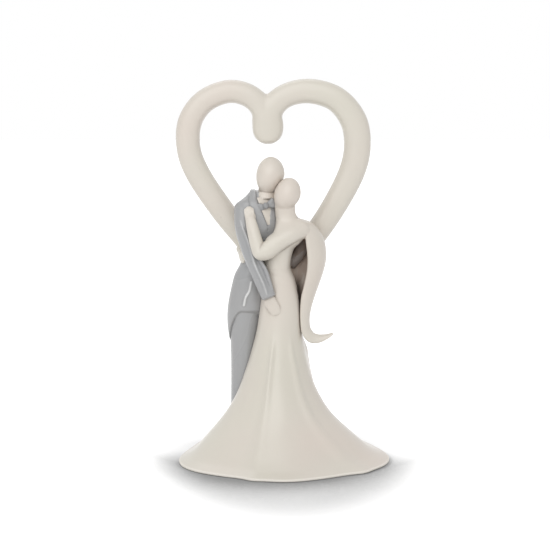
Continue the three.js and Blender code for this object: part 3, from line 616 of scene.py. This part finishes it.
def makeHeartTree():
    tree, given, out = newGroup("lutedHeart", "GeometryNodeTree", {
        "Paths": ("Geometry", None), "Squareness": ("Float", 2.4), "Plane": ("Float", 0.0),
        "Voxel Size": ("Float", 0.0005), "Softening": ("Int", 8), "Material": ("Material", None),
    }, {"Heart": ("Geometry", None)})
    curve = result(tree, "GeometryNodeMeshToCurve", {"Mesh": given["Paths"]})
    ring = result(tree, "GeometryNodeCurvePrimitiveCircle", {"Resolution": heart["sides"], "Radius": 1.0})
    at = splitXYZ(tree, result(tree, "GeometryNodeInputPosition"))
    power = calc(tree, "DIVIDE", 2.0, given["Squareness"])
    raised = lambda axis: calc(tree, "POWER", calc(tree, "ABSOLUTE", axis), power)
    squared = joinXYZ(tree, *(times(tree, calc(tree, "SIGN", axis), raised(axis)) for axis in at[:2]))
    profile = result(tree, "GeometryNodeSetPosition", {"Geometry": ring, "Position": squared})
    limbs = result(tree, "GeometryNodeCurveToMesh", {
        "Curve": curve, "Profile Curve": profile, "Scale": namedField(tree, "halfWidth"), "Fill Caps": True})
    deep = times(tree, minus(tree, at[1], given["Plane"]), namedField(tree, "depthShare"))
    flattened = joinXYZ(tree, at[0], plus(tree, deep, given["Plane"]), at[2])
    shaped = result(tree, "GeometryNodeSetPosition", {"Geometry": limbs, "Position": flattened})
    byVoxel = {"Voxel Size": given["Voxel Size"]}
    volume = result(tree, "GeometryNodeMeshToVolume", {
        "Mesh": shaped, **byVoxel, "Interior Band Width": heart["band"] * mm}, resolution_mode="VOXEL_SIZE")
    skin = result(tree, "GeometryNodeVolumeToMesh", {
        "Volume": volume, **byVoxel, "Threshold": heart["threshold"]}, resolution_mode="VOXEL_SIZE")
    blur = addNode(
        tree, "GeometryNodeBlurAttribute", {"Iterations": given["Softening"]}, data_type="FLOAT_VECTOR")
    tree.links.new(result(tree, "GeometryNodeInputPosition"), liveSocket(blur.inputs, "Value"))
    soft = result(tree, "GeometryNodeSetPosition", {
        "Geometry": skin, "Position": liveSocket(blur.outputs, "Value")})
    setInputs(tree, out, {"Heart": glazedMesh(tree, soft, given["Material"])})
    return tree


def makeHeart():
    points, widths, edges = [], [], []
    bend, t = np.radians(heart["endBends"]), np.linspace(0, 1, heart["pathPoints"])
    for side in ("left", "right"):
        x, z, width = np.array(heart[side]).T
        steps = len(x) - 1
        middle, direction = pathThrough(np.column_stack([x, np.full(len(x), heart["plane"]), z]), t)
        width = alongRows(np.column_stack([np.arange(steps + 1), width]), t * steps)[:, 1]
        root, tip = width[0], width[-1]
        path = np.vstack([middle[0] - direction[0] * (root * np.sin(bend))[:, None], middle,
                          middle[-1] + direction[-1] * (tip * np.sin(bend[::-1]))[:, None]])
        edges += [(len(points) + i, len(points) + i + 1) for i in range(len(path) - 1)]
        points += ((path + origin) * mm).tolist()
        widths += [*(root * np.cos(bend)), *width, *(tip * np.cos(bend[::-1]))]
    mesh = bpy.data.meshes.new("heart")
    mesh.from_pydata(points, edges, [])
    widths = np.array(widths)
    setFields(mesh, {
        "halfWidth": widths * mm, "depthShare": heart["halfDepth"] / np.maximum(widths, heart["thinnest"])})
    return runTree(linked("heart", mesh), makeHeartTree(), {
        "Squareness": heart["square"], "Plane": (heart["plane"] + origin[1]) * mm,
        "Voxel Size": heart["voxel"] * mm, "Softening": heart["softening"], "Material": creamGlaze})


openHeart = makeHeart()


# The bride above the waist: bodice, head, both arms, both hands and shawl

bride = {
    "bodiceTurn": -20,
    "bodice": [  # height, middle x, middle y, half width, half depth
        [89.6, -1.9, -2.3, 7.1, 6.1], [93, -2.3, -2.35, 7.22, 6.26], [97, -3.1, -2.4, 6.6, 6.1],
        [101, -3.0, -2.4, 6.7, 5.9], [105.5, -1.9, -2.3, 6.6, 6.2], [107.8, -1.0, -2.4, 7.0, 6.6],
        [110, 0.5, -2.4, 8.0, 7.0], [114, 2.7, -2.1, 8.5, 7.1], [118, 3.9, -1.8, 8.4, 6.6],
        [120.4, 3.6, -1.8, 7.9, 5.5], [121.9, 2.8, -1.8, 5.6, 4.4]],
    "head": {"middle": [1.9, -3.2, 133.9], "half": [6.4, 6.9, 8.5], "narrowFrom": 0.2, "chin": 0.1,
             "jaw": -0.8, "lean": 14},
    "neck": [[2.4, -2.0, 118.4, 6.0, 4.6], [1.0, -2.3, 123.6, 5.0, 4.2], [0.6, -2.8, 129, 5.0, 4.4]],
    "nearArm": [  # x, y, z, half width, half thickness
        [8.6, -4.2, 116.4, 4.6, 4.5], [3.8, -7.9, 114.6, 4.3, 4.0], [-3.2, -10.1, 110.9, 4.5, 3.7],
        [-8.5, -11.0, 106.8, 4.3, 3.4], [-11.5, -10.7, 105.8, 3.5, 3.2], [-13.1, -9.6, 109.6, 3.4, 3.1],
        [-15.1, -8.3, 117.0, 3.0, 2.7], [-16.5, -7.3, 122.6, 2.45, 1.4]],
    "farArm": [
        [-0.4, 4.6, 116.6, 3.4, 3.4], [-4.6, 12.8, 112.6, 3.1, 2.8], [-11.4, 14.4, 108.4, 2.8, 2.4],
        [-18.4, 12.0, 106.2, 2.6, 2.3], [-21.6, 7.2, 104.9, 2.3, 2.1]],
    "armFillets": [
        [[5.6, -5.0, 117.4, 4.4, 4.2], [0.0, -7.8, 114.2, 4.4, 3.9], [-5.6, -9.4, 110.6, 3.8, 3.4]],
        [[0.6, -3.2, 121.0, 3.6, 2.9], [-0.4, -5.2, 118.4, 3.8, 3.2], [-1.6, -7.6, 115.0, 3.6, 3.2]],
        [[3.0, -3.0, 120.4, 3.4, 2.9], [4.2, -4.8, 118.0, 3.9, 3.5], [4.0, -6.4, 115.0, 3.6, 3.5]]],
    "wiped": [[0.5, -8.5, 118.5, 9.0, 160], [-16.4, -8.6, 122.8, 3.2, 60]],  # where her arm joins
    "nearHand": {"wrist": [-16.3, -7.2, 119.8], "toward": [-17.2, -5.0, 127.3], "palm": [-0.1, 1, 0.2],
                 "size": 1.1, "grow": 0.08},
    "farHand": {"wrist": [-21.8, 6.4, 104.6], "toward": [-19.8, -1.3, 99.6], "palm": [0.9, 0.45, 0],
                "size": 1.1, "grow": 0.08},
    "grow": 0.08,
}

shawl = {
    "stations": [  # middle x, middle y, height, half width, half depth, first and last angle, thickness
        [4.4, -0.6, 121.0, 6.4, 5.6, -30, 150, 2.2], [5.4, 0.2, 118.6, 9.7, 7.8, -54, 156, 2.3],
        [8.0, 1.0, 112.5, 11.7, 9.2, -70, 156, 2.3], [10.8, 1.6, 104.0, 10.7, 9.2, -80, 154, 2.3],
        [10.8, 1.4, 97.0, 9.9, 8.6, -80, 154, 2.3], [9.6, 0.6, 90.0, 8.9, 7.6, -79, 146, 2.3],
        [8.2, -0.4, 83.0, 7.8, 6.4, -79, 136, 2.3], [8.0, -1.6, 76.5, 6.0, 5.2, -80, 122, 2.2],
        [8.4, -2.4, 70.4, 4.8, 4.3, -83, 100, 2.1], [9.4, -2.7, 64.8, 4.7, 4.2, -87, 78, 2.0],
        [12.6, -3.0, 60.6, 4.5, 3.9, -90, 60, 1.8], [17.2, -3.0, 59.8, 3.8, 3.2, -90, 52, 1.6],
        [21.8, -3.0, 61.4, 2.3, 2.4, -90, 50, 1.3], [25.2, -3.0, 63.6, 0.9, 1.3, -90, 50, 0.9]],
    "curl": (7.5, 10),  # stations between which the channel turns with its path
    "rings": 150, "steps": 40,
    "lipTurn": [0.7, 1, 0.7], "lipInset": [0.2, 0.5, 0.8], "lipReach": 0.7,  # how its lips are rounded
}


def shawlSkin():  # a channel section drawn down her back, ending in a curl
    stations, steps = np.array(shawl["stations"], float), shawl["steps"]
    last = len(stations) - 1
    t = np.linspace(0, 1, shawl["rings"] + 1)
    rows = alongRows(np.column_stack([np.arange(last + 1), stations]), t * last)[:, 1:]
    _, direction = pathThrough(stations[:, :3] * [1, 0, 1], t)
    curl = smoothStep(t * last, *shawl["curl"])[:, None]
    outward = np.array([1.0, 0, 0]) * (1 - curl) + np.column_stack(
        [-direction[:, 2], np.zeros(len(t)), direction[:, 0]]) * curl
    outward /= np.linalg.norm(outward, axis=1)[:, None]
    lipTurn, lipInset = np.array(shawl["lipTurn"]), np.array(shawl["lipInset"])
    made = []
    for row, out in zip(rows, outward):
        x, y, z, halfWidth, halfDepth, first, end, thick = row
        lip = math.degrees(thick * 0.5 / min(halfWidth, halfDepth)) * shawl["lipReach"]
        sweep = np.linspace(first, end, steps + 1)
        angles = np.radians(np.concatenate([sweep, end + lip * lipTurn, sweep[::-1], first - lip * lipTurn]))
        inset = np.concatenate([np.zeros(steps + 1), thick * lipInset,
                                np.full(steps + 1, thick), thick * lipInset[::-1]])
        ring = np.array([x, y, z]) + out * ((halfWidth - inset) * np.cos(angles))[:, None]
        ring[:, 1] += (halfDepth - inset) * np.sin(angles)
        made.append(ring)
    return skinOver(made)


def makeBride():
    grow = bride["grow"]
    skins = [
        upright(bride["bodice"], bride["bodiceTurn"], rings=60, grow=grow),
        eggHead(bride["head"], grow=grow), limb(bride["neck"], rings=30, roundRoot=0.2, grow=grow),
        limb(bride["nearArm"], grow=grow), limb(bride["farArm"], grow=grow),
        *handParts(bride["nearHand"]), *handParts(bride["farHand"]), shawlSkin(),
        *(limb(fillet, rings=30, roundRoot=0.3, grow=grow) for fillet in bride["armFillets"])]
    return wiped(fused("bride", skins), bride["wiped"])


brideUpper = makeBride()


# The groom: jacket with its sleeves and lapels, trousers, head with shirt and collar

groom = {
    "jacketTurn": 24, "frontHem": 75.5, "tailHem": 58.5,
    "hemFront": -86, "hemLevel": 22, "hemDrop": 96,  # front, then where the drop starts and ends, degrees
    "jacket": [  # height, middle x, middle y, half width, half depth
        [56, -17.1, 6.4, 9.6, 8.4], [66, -16.9, 6.4, 11.6, 9.2], [76, -16.7, 6.2, 11.7, 9.2],
        [88, -15.5, 5.8, 10.6, 8.4], [93.5, -14.6, 5.5, 9.8, 7.8], [98, -13.0, 5.3, 8.9, 7.3],
        [103, -12.1, 5.2, 9.1, 7.5], [110, -10.9, 5.1, 11.2, 7.9], [118, -10.1, 5.0, 13.4, 8.2],
        [125, -10.2, 5.0, 13.4, 7.6], [129.5, -11.0, 5.0, 11.9, 6.6], [132.2, -11.4, 5.1, 7.8, 5.3],
        [134.6, -11.6, 5.1, 5.2, 4.4]],
    "head": {"middle": [-6.5, 2.4, 142.9], "half": [7.0, 7.6, 9.1], "narrowFrom": 0.2, "chin": 0.1,
             "jaw": -1.1, "lean": 4},
    "neck": [[-10.0, 4.4, 128.5, 3.8, 3.9], [-8.7, 4.0, 133, 4.1, 3.7], [-7.8, 3.4, 138, 4.4, 4.2]],
    "nearTrouser": [
        [-18.8, 5.4, 79, 8.4, 8.0], [-19.3, 5.4, 69, 8.2, 7.6], [-19.7, 5.4, 58, 7.0, 7.0],
        [-19.8, 5.8, 44, 6.7, 6.6], [-20.0, 6.2, 30, 6.6, 6.4], [-20.2, 6.6, 16, 6.6, 6.4]],
    "farTrouser": [
        [-13.0, 8.6, 79, 6.4, 6.0], [-12.4, 9.0, 69, 6.4, 6.2], [-11.4, 9.8, 58, 6.3, 6.2],
        [-10.2, 11.0, 44, 6.1, 6.1], [-9.2, 12.2, 30, 6.1, 6.1], [-8.6, 13.0, 18, 6.1, 6.1]],
    "nearSleeve": [
        [-19.8, 2.6, 125.4, 4.9, 5.4], [-19.6, -0.8, 117, 4.5, 4.8], [-16.3, -4.9, 105.4, 4.1, 4.2],
        [-11.8, -8.5, 94, 3.7, 3.6], [-7.3, -10.9, 83.9, 3.6, 3.3]],
    "farSleeve": [
        [-3.2, 8.6, 124.2, 4.4, 4.2], [4.0, 9.0, 118.6, 4.0, 3.6], [9.8, 7.0, 111.6, 3.5, 3.2],
        [8.8, 5.2, 104.6, 3.3, 2.9], [3.2, 5.2, 97.6, 3.1, 2.7]],
    "nearHand": {"wrist": [-7.6, -10.4, 84.2], "toward": [-3.5, -10.1, 75.2], "palm": [0.15, 1, 0],
                 "size": 1.3, "close": 0.93, "fill": 1.05, "grow": 0.25},
    "farHand": {"wrist": [2.6, 5.2, 96.8], "toward": [-2.4, 5.6, 89.4], "palm": [0.2, -1, 0],
                "size": 1.05, "grow": 0.1},
    "lapelThickness": 0.6, "shirtThickness": 0.5, "seam": 0.3,
    "panelFront": -12.0,  # the panels are cut from here back to the jacket's middle
    "shirt": [[-13.4, 132.2], [-4.6, 132.2], [-6.6, 118.6], [-8.0, 118.6]],
    "nearLapel": [[-16.6, 136], [-14.0, 136], [-13.7, 131.5], [-12.4, 128.6], [-10.5, 124.8], [-8.2, 119.2],
                  [-7.9, 112], [-8.5, 109.6], [-9.8, 110], [-11.6, 113.5], [-13.4, 119], [-14.4, 124],
                  [-16.2, 127], [-17.0, 131.4]],
    "farLapel": [[-5.2, 132.5], [-6.6, 127], [-7.0, 119.4], [-7.6, 118.4], [-7.4, 110.5], [-5.2, 113],
                 [-2.4, 120], [-0.8, 127], [-1.2, 132.5]],
    "collar": {"height": 3.2, "thickness": 1.0, "flare": 0.5, "taper": 0.3, "drop": 1.8, "tilt": -5,
               "sides": 48, "bulge": (0.4, 0.6)},  # bulge: share of the flare that is left, and how high up
    "creases": [  # raised folds of the cloth: x, y, z, half width
        [[-21.4, -2.8, 121.2, 0.7], [-20.0, -5.4, 117.0, 0.9], [-18.1, -7.0, 112.6, 0.9],
         [-16.4, -8.6, 107.6, 0.9], [-14.7, -10.3, 101.4, 0.9], [-12.4, -11.6, 96.0, 0.9],
         [-9.7, -12.9, 90.3, 0.9], [-8.2, -13.6, 85.6, 0.8]],
        [[-12.9, -8.8, 104.1, 0.7], [-11.0, -9.3, 101.0, 0.9], [-8.8, -10.0, 97.0, 1.0],
         [-5.8, -11.6, 87.4, 1.0]],
        [[-16.1, -2.7, 90.0, 0.5], [-17.1, -2.8, 85.4, 0.7], [-18.8, -2.9, 82.4, 0.9],
         [-19.8, -3.0, 78.2, 0.9]]],
    "grow": 0.08,
}


def apart(a, b):  # smallest angle between directions, in degrees
    return np.abs((a - b + 180) % 360 - 180)


def jacketHem(direction):
    drop = smoothStep(apart(direction, groom["hemFront"]), groom["hemLevel"], groom["hemDrop"])
    return groom["frontHem"] + (groom["tailHem"] - groom["frontHem"]) * drop


def jacketSkin(grow):
    return upright(groom["jacket"], groom["jacketTurn"], jacketHem, sides=96, rings=110, grow=grow)


def frontPanel(name, outline, thickness):  # a flat detail that follows the jacket's front
    outline = np.array(outline)
    count = len(outline)
    x, z = outline.T
    if np.dot(x, np.roll(z, -1)) < np.dot(z, np.roll(x, -1)):
        outline = outline[::-1]  # so that its faces look outwards
    points = [(x, y, z) for y in (groom["jacket"][0][2], groom["panelFront"]) for x, z in outline]
    faces = [list(range(count))[::-1], list(range(count, 2 * count))]
    faces += [[i, (i + 1) % count, (i + 1) % count + count, i + count] for i in range(count)]
    prism = meshObject(name, points, faces)
    skin = meshObject(name + "Skin", *jacketSkin(thickness + groom["seam"]))
    cut = prism.modifiers.new("follow", "BOOLEAN")
    cut.operation = "INTERSECT"
    cut.solver = "EXACT"
    cut.object = skin
    plainMesh(prism)
    bpy.data.objects.remove(skin)
    points = np.array([v.co for v in prism.data.vertices]) / mm - origin
    faces = [list(face.vertices) for face in prism.data.polygons]
    bpy.data.objects.remove(prism)
    return points, faces


def collarSkin():  # the turned-down shirt collar round his neck
    collar, neck = groom["collar"], groom["neck"][1]
    outer = neck[3] + groom["seam"] + collar["thickness"]
    tilt = math.radians(collar["tilt"])
    angle = turnOf(collar["sides"])
    flareLeft, upTo = collar["bulge"]
    rows = []
    for radius, z in ((outer + collar["flare"], 0),
                      (outer + collar["flare"] * flareLeft, collar["height"] * upTo),
                      (outer - collar["taper"], collar["height"])):
        x, y = radius * np.cos(angle), radius * np.sin(angle)
        rows.append(np.column_stack([neck[0] + x, neck[1] + y * math.cos(tilt) - z * math.sin(tilt),
                                     neck[2] - collar["drop"] + y * math.sin(tilt) + z * math.cos(tilt)]))
    return skinOver(rows)


def makeGroom():
    grow = groom["grow"]
    lapels = [frontPanel(side, groom[side], groom["lapelThickness"]) for side in ("nearLapel", "farLapel")]
    shirt = frontPanel("shirt", groom["shirt"], groom["shirtThickness"])
    sleeves = [limb(groom[side], roundTip=0.25, grow=grow) for side in ("nearSleeve", "farSleeve")]
    creases = [limb(crease, sides=16, rings=40) for crease in groom["creases"]]
    legs = [limb(groom[side], sides=48, roundTip=0.2, grow=grow) for side in ("nearTrouser", "farTrouser")]
    neck = limb(groom["neck"], rings=30, roundRoot=0.2, grow=grow)
    skins = {
        "groomJacket": [jacketSkin(grow), *lapels, *sleeves, *creases], "trousers": legs,
        "groomHead": [eggHead(groom["head"], grow=grow), neck, collarSkin(), shirt],
        "groomNearHand": handParts(groom["nearHand"]), "groomFarHand": handParts(groom["farHand"])}
    return [fused(name, parts) for name, parts in skins.items()]


jacket, trousers, groomHead, groomNearHand, groomFarHand = makeGroom()


# The bow tie: two wings and a knot

bowTie = {
    "middle": [-8.8, -3.2, 128.4], "reach": 4.1, "tall": 2.7, "deep": 1.3, "slope": 0.35,
    "knot": 1.5, "knotForward": 0.5, "knotHalf": 0.2,
    "root": 0.7, "waist": (0.72, 0.8), "tip": (1, 0.75),  # a wing's sizes, from the knot outwards
    "tipBack": 0.5,
}


def makeBowTie():
    x, y, z = bowTie["middle"]
    sized = lambda shares: [bowTie["tall"] * shares[0], bowTie["deep"] * shares[1]]
    wings = []
    for side in (-bowTie["reach"], bowTie["reach"]):
        wings.append(limb([
            [x, y, z, bowTie["root"]],
            [x + side * 0.5, y, z + side * 0.5 * bowTie["slope"], *sized(bowTie["waist"])],
            [x + side, y + bowTie["tipBack"], z + side * bowTie["slope"], *sized(bowTie["tip"])]],
            rings=24, roundTip=0.35))
    knot = limb([[x, y - bowTie["knotForward"], z + rise, bowTie["knot"]]
                 for rise in (-bowTie["knotHalf"], bowTie["knotHalf"])], rings=4)
    return fused("bowTie", [*wings, knot])


bow = makeBowTie()


# Relief: darker in creases and where pieces meet, pooled glaze and painted shade; paler over edges and
# folds, thin glaze and painted highlight; painted shade in the space behind the shawl

relief = {
    "creaseSpan": (0.10, 0.75), "edgeSpan": (0.45, 1.7), "gownSpan": (0.10, 0.55),  # from faint to full
    "hemSpan": (6.0, 16.0),  # heights over which the paler colour on the skirt's folds comes in, thin glaze and painted highlight
    "spread": 3, "soften": 2, "touch": 0.9, "facing": 0.5,
    "edgeShare": {"groomJacket": 0.5, "bowTie": 0.25}, "darkerShare": {"bowTie": 0.5},
    "foldHighlight": (0.55, 0.35, 1.0), "foldWidth": 0.78,  # how bright the painted highlight is along each fold of the jacket
    "foldPoints": 60, "foldFade": 0.6, "foldFacing": -0.2,
    "gapLow": [3.0, -8.0, 60.0], "gapHigh": [19.5, 16.0, 116.0],  # the space between her back and the shawl
    "gapWalls": ["bride", "groomJacket", "gownSkirt"], "gapRays": 16, "gapReach": 26.0, "rayStart": 0.3,
    "gapShut": (0.62, 0.92),  # share of the rays that meet a wall, from light to fully dark painted shade
    "slitLow": 74.0, "slitHigh": 94.0,  # the slit between gown and shawl below that space
    "slitReach": (0.6, 9.5),  # how wide the dark stays, at its foot and at its top
    "slitFacing": -0.3, "slitFront": -2.0,  # walls that face forwards in front of this stay light
    "slitFade": (0.45, 0.4),
}


def raysAround(count):  # directions spread evenly over a ball
    steps = np.arange(count) + 0.5
    rise, turn = 1 - 2 * steps / len(steps), steps * math.pi * (1 + math.sqrt(5))
    flat = np.sqrt(1 - rise * rise)
    return [Vector(way) for way in np.column_stack([flat * np.cos(turn), flat * np.sin(turn), rise])]


def bendOf(co, normal, neighbours):  # how sharply the skin bends, above nought at edges, below at creases
    middle = meanPlace(neighbours, co)
    size = neighbours((co ** 2).sum(1)) - 2 * (middle * co).sum(1) + (co ** 2).sum(1)  # mean square edge
    bend = -((middle - co) * normal).sum(1) / np.maximum(size, 1e-6) * 4
    for _ in range(relief["spread"]):
        bend = 0.5 * bend + 0.5 * neighbours(bend)
    return bend


def paintedFoldHighlights(co, normal):  # painted highlight lines along the raised folds of the jacket
    lines = np.zeros(len(co))
    for fold, light in zip(groom["creases"], relief["foldHighlight"]):
        path, _ = pathThrough(np.array(fold)[:, :3], np.linspace(0, 1, relief["foldPoints"]))
        away = np.hypot(*((co - origin)[:, None, ::2] - path[None, :, ::2]).transpose(2, 0, 1)).min(1)
        line = smoothStep(1 - away / relief["foldWidth"], 0.0, relief["foldFade"])
        lines = np.maximum(lines, light * line * (normal[:, 1] < relief["foldFacing"]))
    return lines


def paintedContactShade(thing, co, things, trees):  # painted shade where two pieces face each other closely
    gathered, touch = np.zeros(len(co)), relief["touch"]
    for other in things:
        if other is thing:
            continue
        box = np.array(other.bound_box) / mm
        near = np.where(((co > box.min(0) - touch) & (co < box.max(0) + touch)).all(1))[0]
        for i in near:
            point = thing.data.vertices[i]
            _, normal, _, away = trees[other.name].find_nearest(point.co, touch * mm)
            if away is not None and normal.dot(point.normal) < relief["facing"]:
                gathered[i] = max(gathered[i], (1 - away / mm / touch) ** 2)
    return gathered


def closedIn(at, normal, walls, rays):  # share of the rays from a point that meet a near wall
    start = at + normal * relief["rayStart"] * mm
    blocked = 0
    for ray in rays:
        way = ray if ray.dot(normal) > 0 else -ray
        blocked += any(wall.ray_cast(start, way, relief["gapReach"] * mm)[0] is not None for wall in walls)
    return blocked / len(rays)


def slitDark(mesh, co, normal, low, high, facing):  # painted shade in the narrow slit between gown and shawl
    dark = np.zeros(len(co))
    foot, top = relief["slitLow"] + origin[2], relief["slitHigh"] + origin[2]
    for i in np.where(((co > low) & (co < [high[0], high[1], top])).all(1))[0]:
        up = (co[i, 2] - foot) / (top - foot)
        reach = np.interp(up, (0, 1), relief["slitReach"])
        _, wallNormal, _, away = facing.find_nearest(mesh.vertices[i].co, reach * mm)
        inside = normal[i, 1] > relief["slitFacing"] or co[i, 1] - origin[1] > relief["slitFront"]
        if inside and away is not None and wallNormal.dot(mesh.vertices[i].normal) < 0:
            fadeOut, fadeUp = relief["slitFade"]
            dark[i] = smoothStep(1 - away / mm / reach, 0.0, fadeOut) * smoothStep(1 - up, 0.0, fadeUp)
    return dark


def paintRelief(things):
    trees = {thing.name: BVHTree.FromPolygons([v.co for v in thing.data.vertices],
                                              [f.vertices for f in thing.data.polygons]) for thing in things}
    rays = raysAround(relief["gapRays"])
    low, high = np.array(relief["gapLow"]) + origin, np.array(relief["gapHigh"]) + origin
    walls = [trees[name] for name in relief["gapWalls"]]
    for thing in things:
        mesh, name = thing.data, thing.name
        co, normal, neighbours = pointsOf(mesh) / mm, pointsOf(mesh, "normal"), neighbourMean(mesh)
        bend = bendOf(co, normal, neighbours)
        # darker in creases, pooled glaze and painted shade; the bow tie is darker all over
        crease = np.maximum(smoothStep(-bend, *relief["creaseSpan"]), relief["darkerShare"].get(name, 0.0))
        # paler over edges, thin glaze and painted highlight; on the skirt's folds a painted highlight
        edge = smoothStep(bend, *relief["gownSpan" if name == "gownSkirt" else "edgeSpan"])
        edge = edge * relief["edgeShare"].get(name, 1.0)
        if name == "gownSkirt":
            edge = edge * smoothStep(co[:, 2] - origin[2], *relief["hemSpan"])
        # painted highlight lines along the jacket's folds
        if name == "groomJacket":
            edge = np.maximum(edge, paintedFoldHighlights(co, normal))
        # painted shade where pieces touch
        crease = np.maximum(crease, paintedContactShade(thing, co, things, trees))
        # painted shade in the space between her back and the shawl, by the share of rays that meet a wall
        recess = np.zeros(len(co))
        for i in np.where(((co > low) & (co < high)).all(1))[0]:
            shut = closedIn(mesh.vertices[i].co, mesh.vertices[i].normal, walls, rays)
            recess[i] = smoothStep(shut, *relief["gapShut"])
        # painted shade in the slit between gown and shawl
        facing = {"gownSkirt": "bride", "bride": "gownSkirt"}.get(name)
        if facing:
            dark = slitDark(mesh, co, normal, low, high, trees[facing])
            recess, crease = np.maximum(recess, dark), np.maximum(crease, dark)
        for _ in range(relief["soften"]):  # so that painted lines don't step from point to point
            crease, edge = (0.5 * values + 0.5 * neighbours(values) for values in (crease, edge))
        setFields(mesh, {"crease": crease, "edge": edge, "recess": recess})
    print("relief painted on", len(things), "pieces")


pieces = {
    "gownSkirt": (gownSkirt, "cream", ["skirt"]),
    "heart": (openHeart, "cream", ["heart_left_limb", "heart_right_limb"]),
    "bride": (brideUpper, "cream", ["bodice", "bride_head", "bride_near_arm", "bride_near_hand",
                                    "bride_far_arm", "bride_far_hand", "shawl"]),
    "groomJacket": (jacket, "grey", ["jacket", "near_sleeve", "far_sleeve", "near_lapel", "far_lapel"]),
    "trousers": (trousers, "grey", ["near_trouser_leg", "far_trouser_leg"]),
    "groomHead": (groomHead, "cream", ["groom_head", "shirt_collar", "shirt_front"]),
    "groomNearHand": (groomNearHand, "cream", ["groom_near_hand"]),
    "groomFarHand": (groomFarHand, "cream", ["groom_far_hand"]),
    "bowTie": (bow, "grey", ["bow_tie"]),
}
paintRelief([thing for thing, _, _ in pieces.values()])
for thing, glaze, nodes in pieces.values():
    thing.data.materials.clear()
    thing.data.materials.append({"cream": creamGlaze, "grey": greyGlaze}[glaze])
    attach(thing, "root")
    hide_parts(*nodes)
print("pieces on the frame:", ", ".join(pieces))


# Floor, light and camera

studio = {
    "floor": 1.6, "floorColour": (0.88, 0.88, 0.88), "floorRoughness": 0.9, "floorGloss": 0.1,
    "floorLift": 0.60,  # light of its own that the backdrop gets beyond the shadow
    "liftRound": (0.045, 0.082), "liftDepth": 0.57, "liftBack": (-0.030, 0.012), "liftAside": -0.004,
    "world": 0.665,
    "contact": 0.090, "contactRays": 32,  # how far the soft shade under the foot reaches
    "contactFrom": (0.86, 0.975), "contactShade": (0.37, 1.0),
    "seamFrom": (0.46, 0.66), "seamShade": (0.25, 1.0),
    "key": {"at": (-0.24, -0.94, 0.74), "size": 1.4, "power": 6.1},
    "top": {"at": (-0.15, 0.55, 0.95), "size": 0.8, "power": 1.1},
    "lampsAim": (0, 0, 0.08),
    "lookAt": (-4.25, 0.0, 93.0), "distance": 900.0, "elevation": 10.0, "field": 275.0,
    "sensor": 36.0, "clip": (0.05, 10.0),
}


def seenDirectly(tree):  # rays that show the backdrop, also in reflections and through glass
    path = addNode(tree, "ShaderNodeLightPath").outputs
    return calc(tree, "MAXIMUM", path["Is Camera Ray"],
                calc(tree, "MAXIMUM", path["Is Glossy Ray"], path["Is Transmission Ray"]))


def makeFloor():
    mesh = bpy.data.meshes.new("floor")
    r = studio["floor"]
    mesh.from_pydata([(-r, -r, 0), (r, -r, 0), (r, r, 0), (-r, r, 0)], [], [(0, 1, 2, 3)])
    floor = linked("floor", mesh)
    material = bpy.data.materials.new("paleFloor")
    material.use_nodes = True
    tree = material.node_tree
    near = addNode(tree, "ShaderNodeAmbientOcclusion", {"Distance": studio["contact"]},
                   samples=studio["contactRays"]).outputs["AO"]
    shade = times(tree, stretch(tree, near, *studio["contactFrom"], *studio["contactShade"]),
                  stretch(tree, near, *studio["seamFrom"], *studio["seamShade"]))
    place = addNode(tree, "ShaderNodeTexCoord").outputs["Object"]
    squash = result(tree, "ShaderNodeVectorMath", {
        0: place, 1: (1, studio["liftDepth"], 0), 2: (studio["liftAside"], 0, 0)}, operation="MULTIPLY_ADD")
    away = addNode(tree, "ShaderNodeVectorMath", {0: squash}, operation="LENGTH").outputs["Value"]
    behind = stretch(tree, splitXYZ(tree, place)["Y"], *studio["liftBack"])
    lit = calc(tree, "MAXIMUM", stretch(tree, away, *studio["liftRound"]), behind)
    setInputs(tree, tree.nodes["Principled BSDF"], {
        "Base Color": blendColour(tree, shade, (0, 0, 0, 1), (*studio["floorColour"], 1)),
        "Roughness": studio["floorRoughness"], "Specular IOR Level": studio["floorGloss"],
        "Emission Color": (1, 1, 1, 1),
        "Emission Strength": times(tree, seenDirectly(tree), times(tree, lit, studio["floorLift"]))})
    mesh.materials.append(material)


def makeWorld():
    world = bpy.data.worlds.new("studio")
    bpy.context.scene.world = world
    world.use_nodes = True
    tree = world.node_tree
    tree.nodes.clear()
    strength = plus(tree, studio["world"], times(tree, seenDirectly(tree), 1.0 - studio["world"]))
    background = result(tree, "ShaderNodeBackground", {"Color": (1, 1, 1, 1), "Strength": strength})
    addNode(tree, "ShaderNodeOutputWorld", {"Surface": background})


def pointAt(thing, place, target):
    thing.location = place
    thing.rotation_euler = (Vector(target) - thing.location).to_track_quat("-Z", "Y").to_euler()


def makeLamp(name):
    lamp = studio[name]
    data = bpy.data.lights.new(name, "AREA")
    data.shape = "DISK"
    data.size, data.energy = lamp["size"], lamp["power"]
    pointAt(linked(name, data), lamp["at"], studio["lampsAim"])


def makeCamera():
    data = bpy.data.cameras.new("camera")
    data.sensor_width = studio["sensor"]
    data.lens = data.sensor_width * studio["distance"] / studio["field"]
    data.clip_start, data.clip_end = studio["clip"]
    lift = math.radians(studio["elevation"])
    target = Vector((np.array(studio["lookAt"]) + origin) * mm)
    camera = linked("camera", data)
    pointAt(camera, target + Vector((0, -math.cos(lift), math.sin(lift))) * studio["distance"] * mm, target)
    bpy.context.scene.camera = camera


makeFloor()
makeWorld()
for lampName in ("key", "top"):
    makeLamp(lampName)
makeCamera()
bpy.context.scene.view_settings.view_transform = "Standard"
print("studio ready")
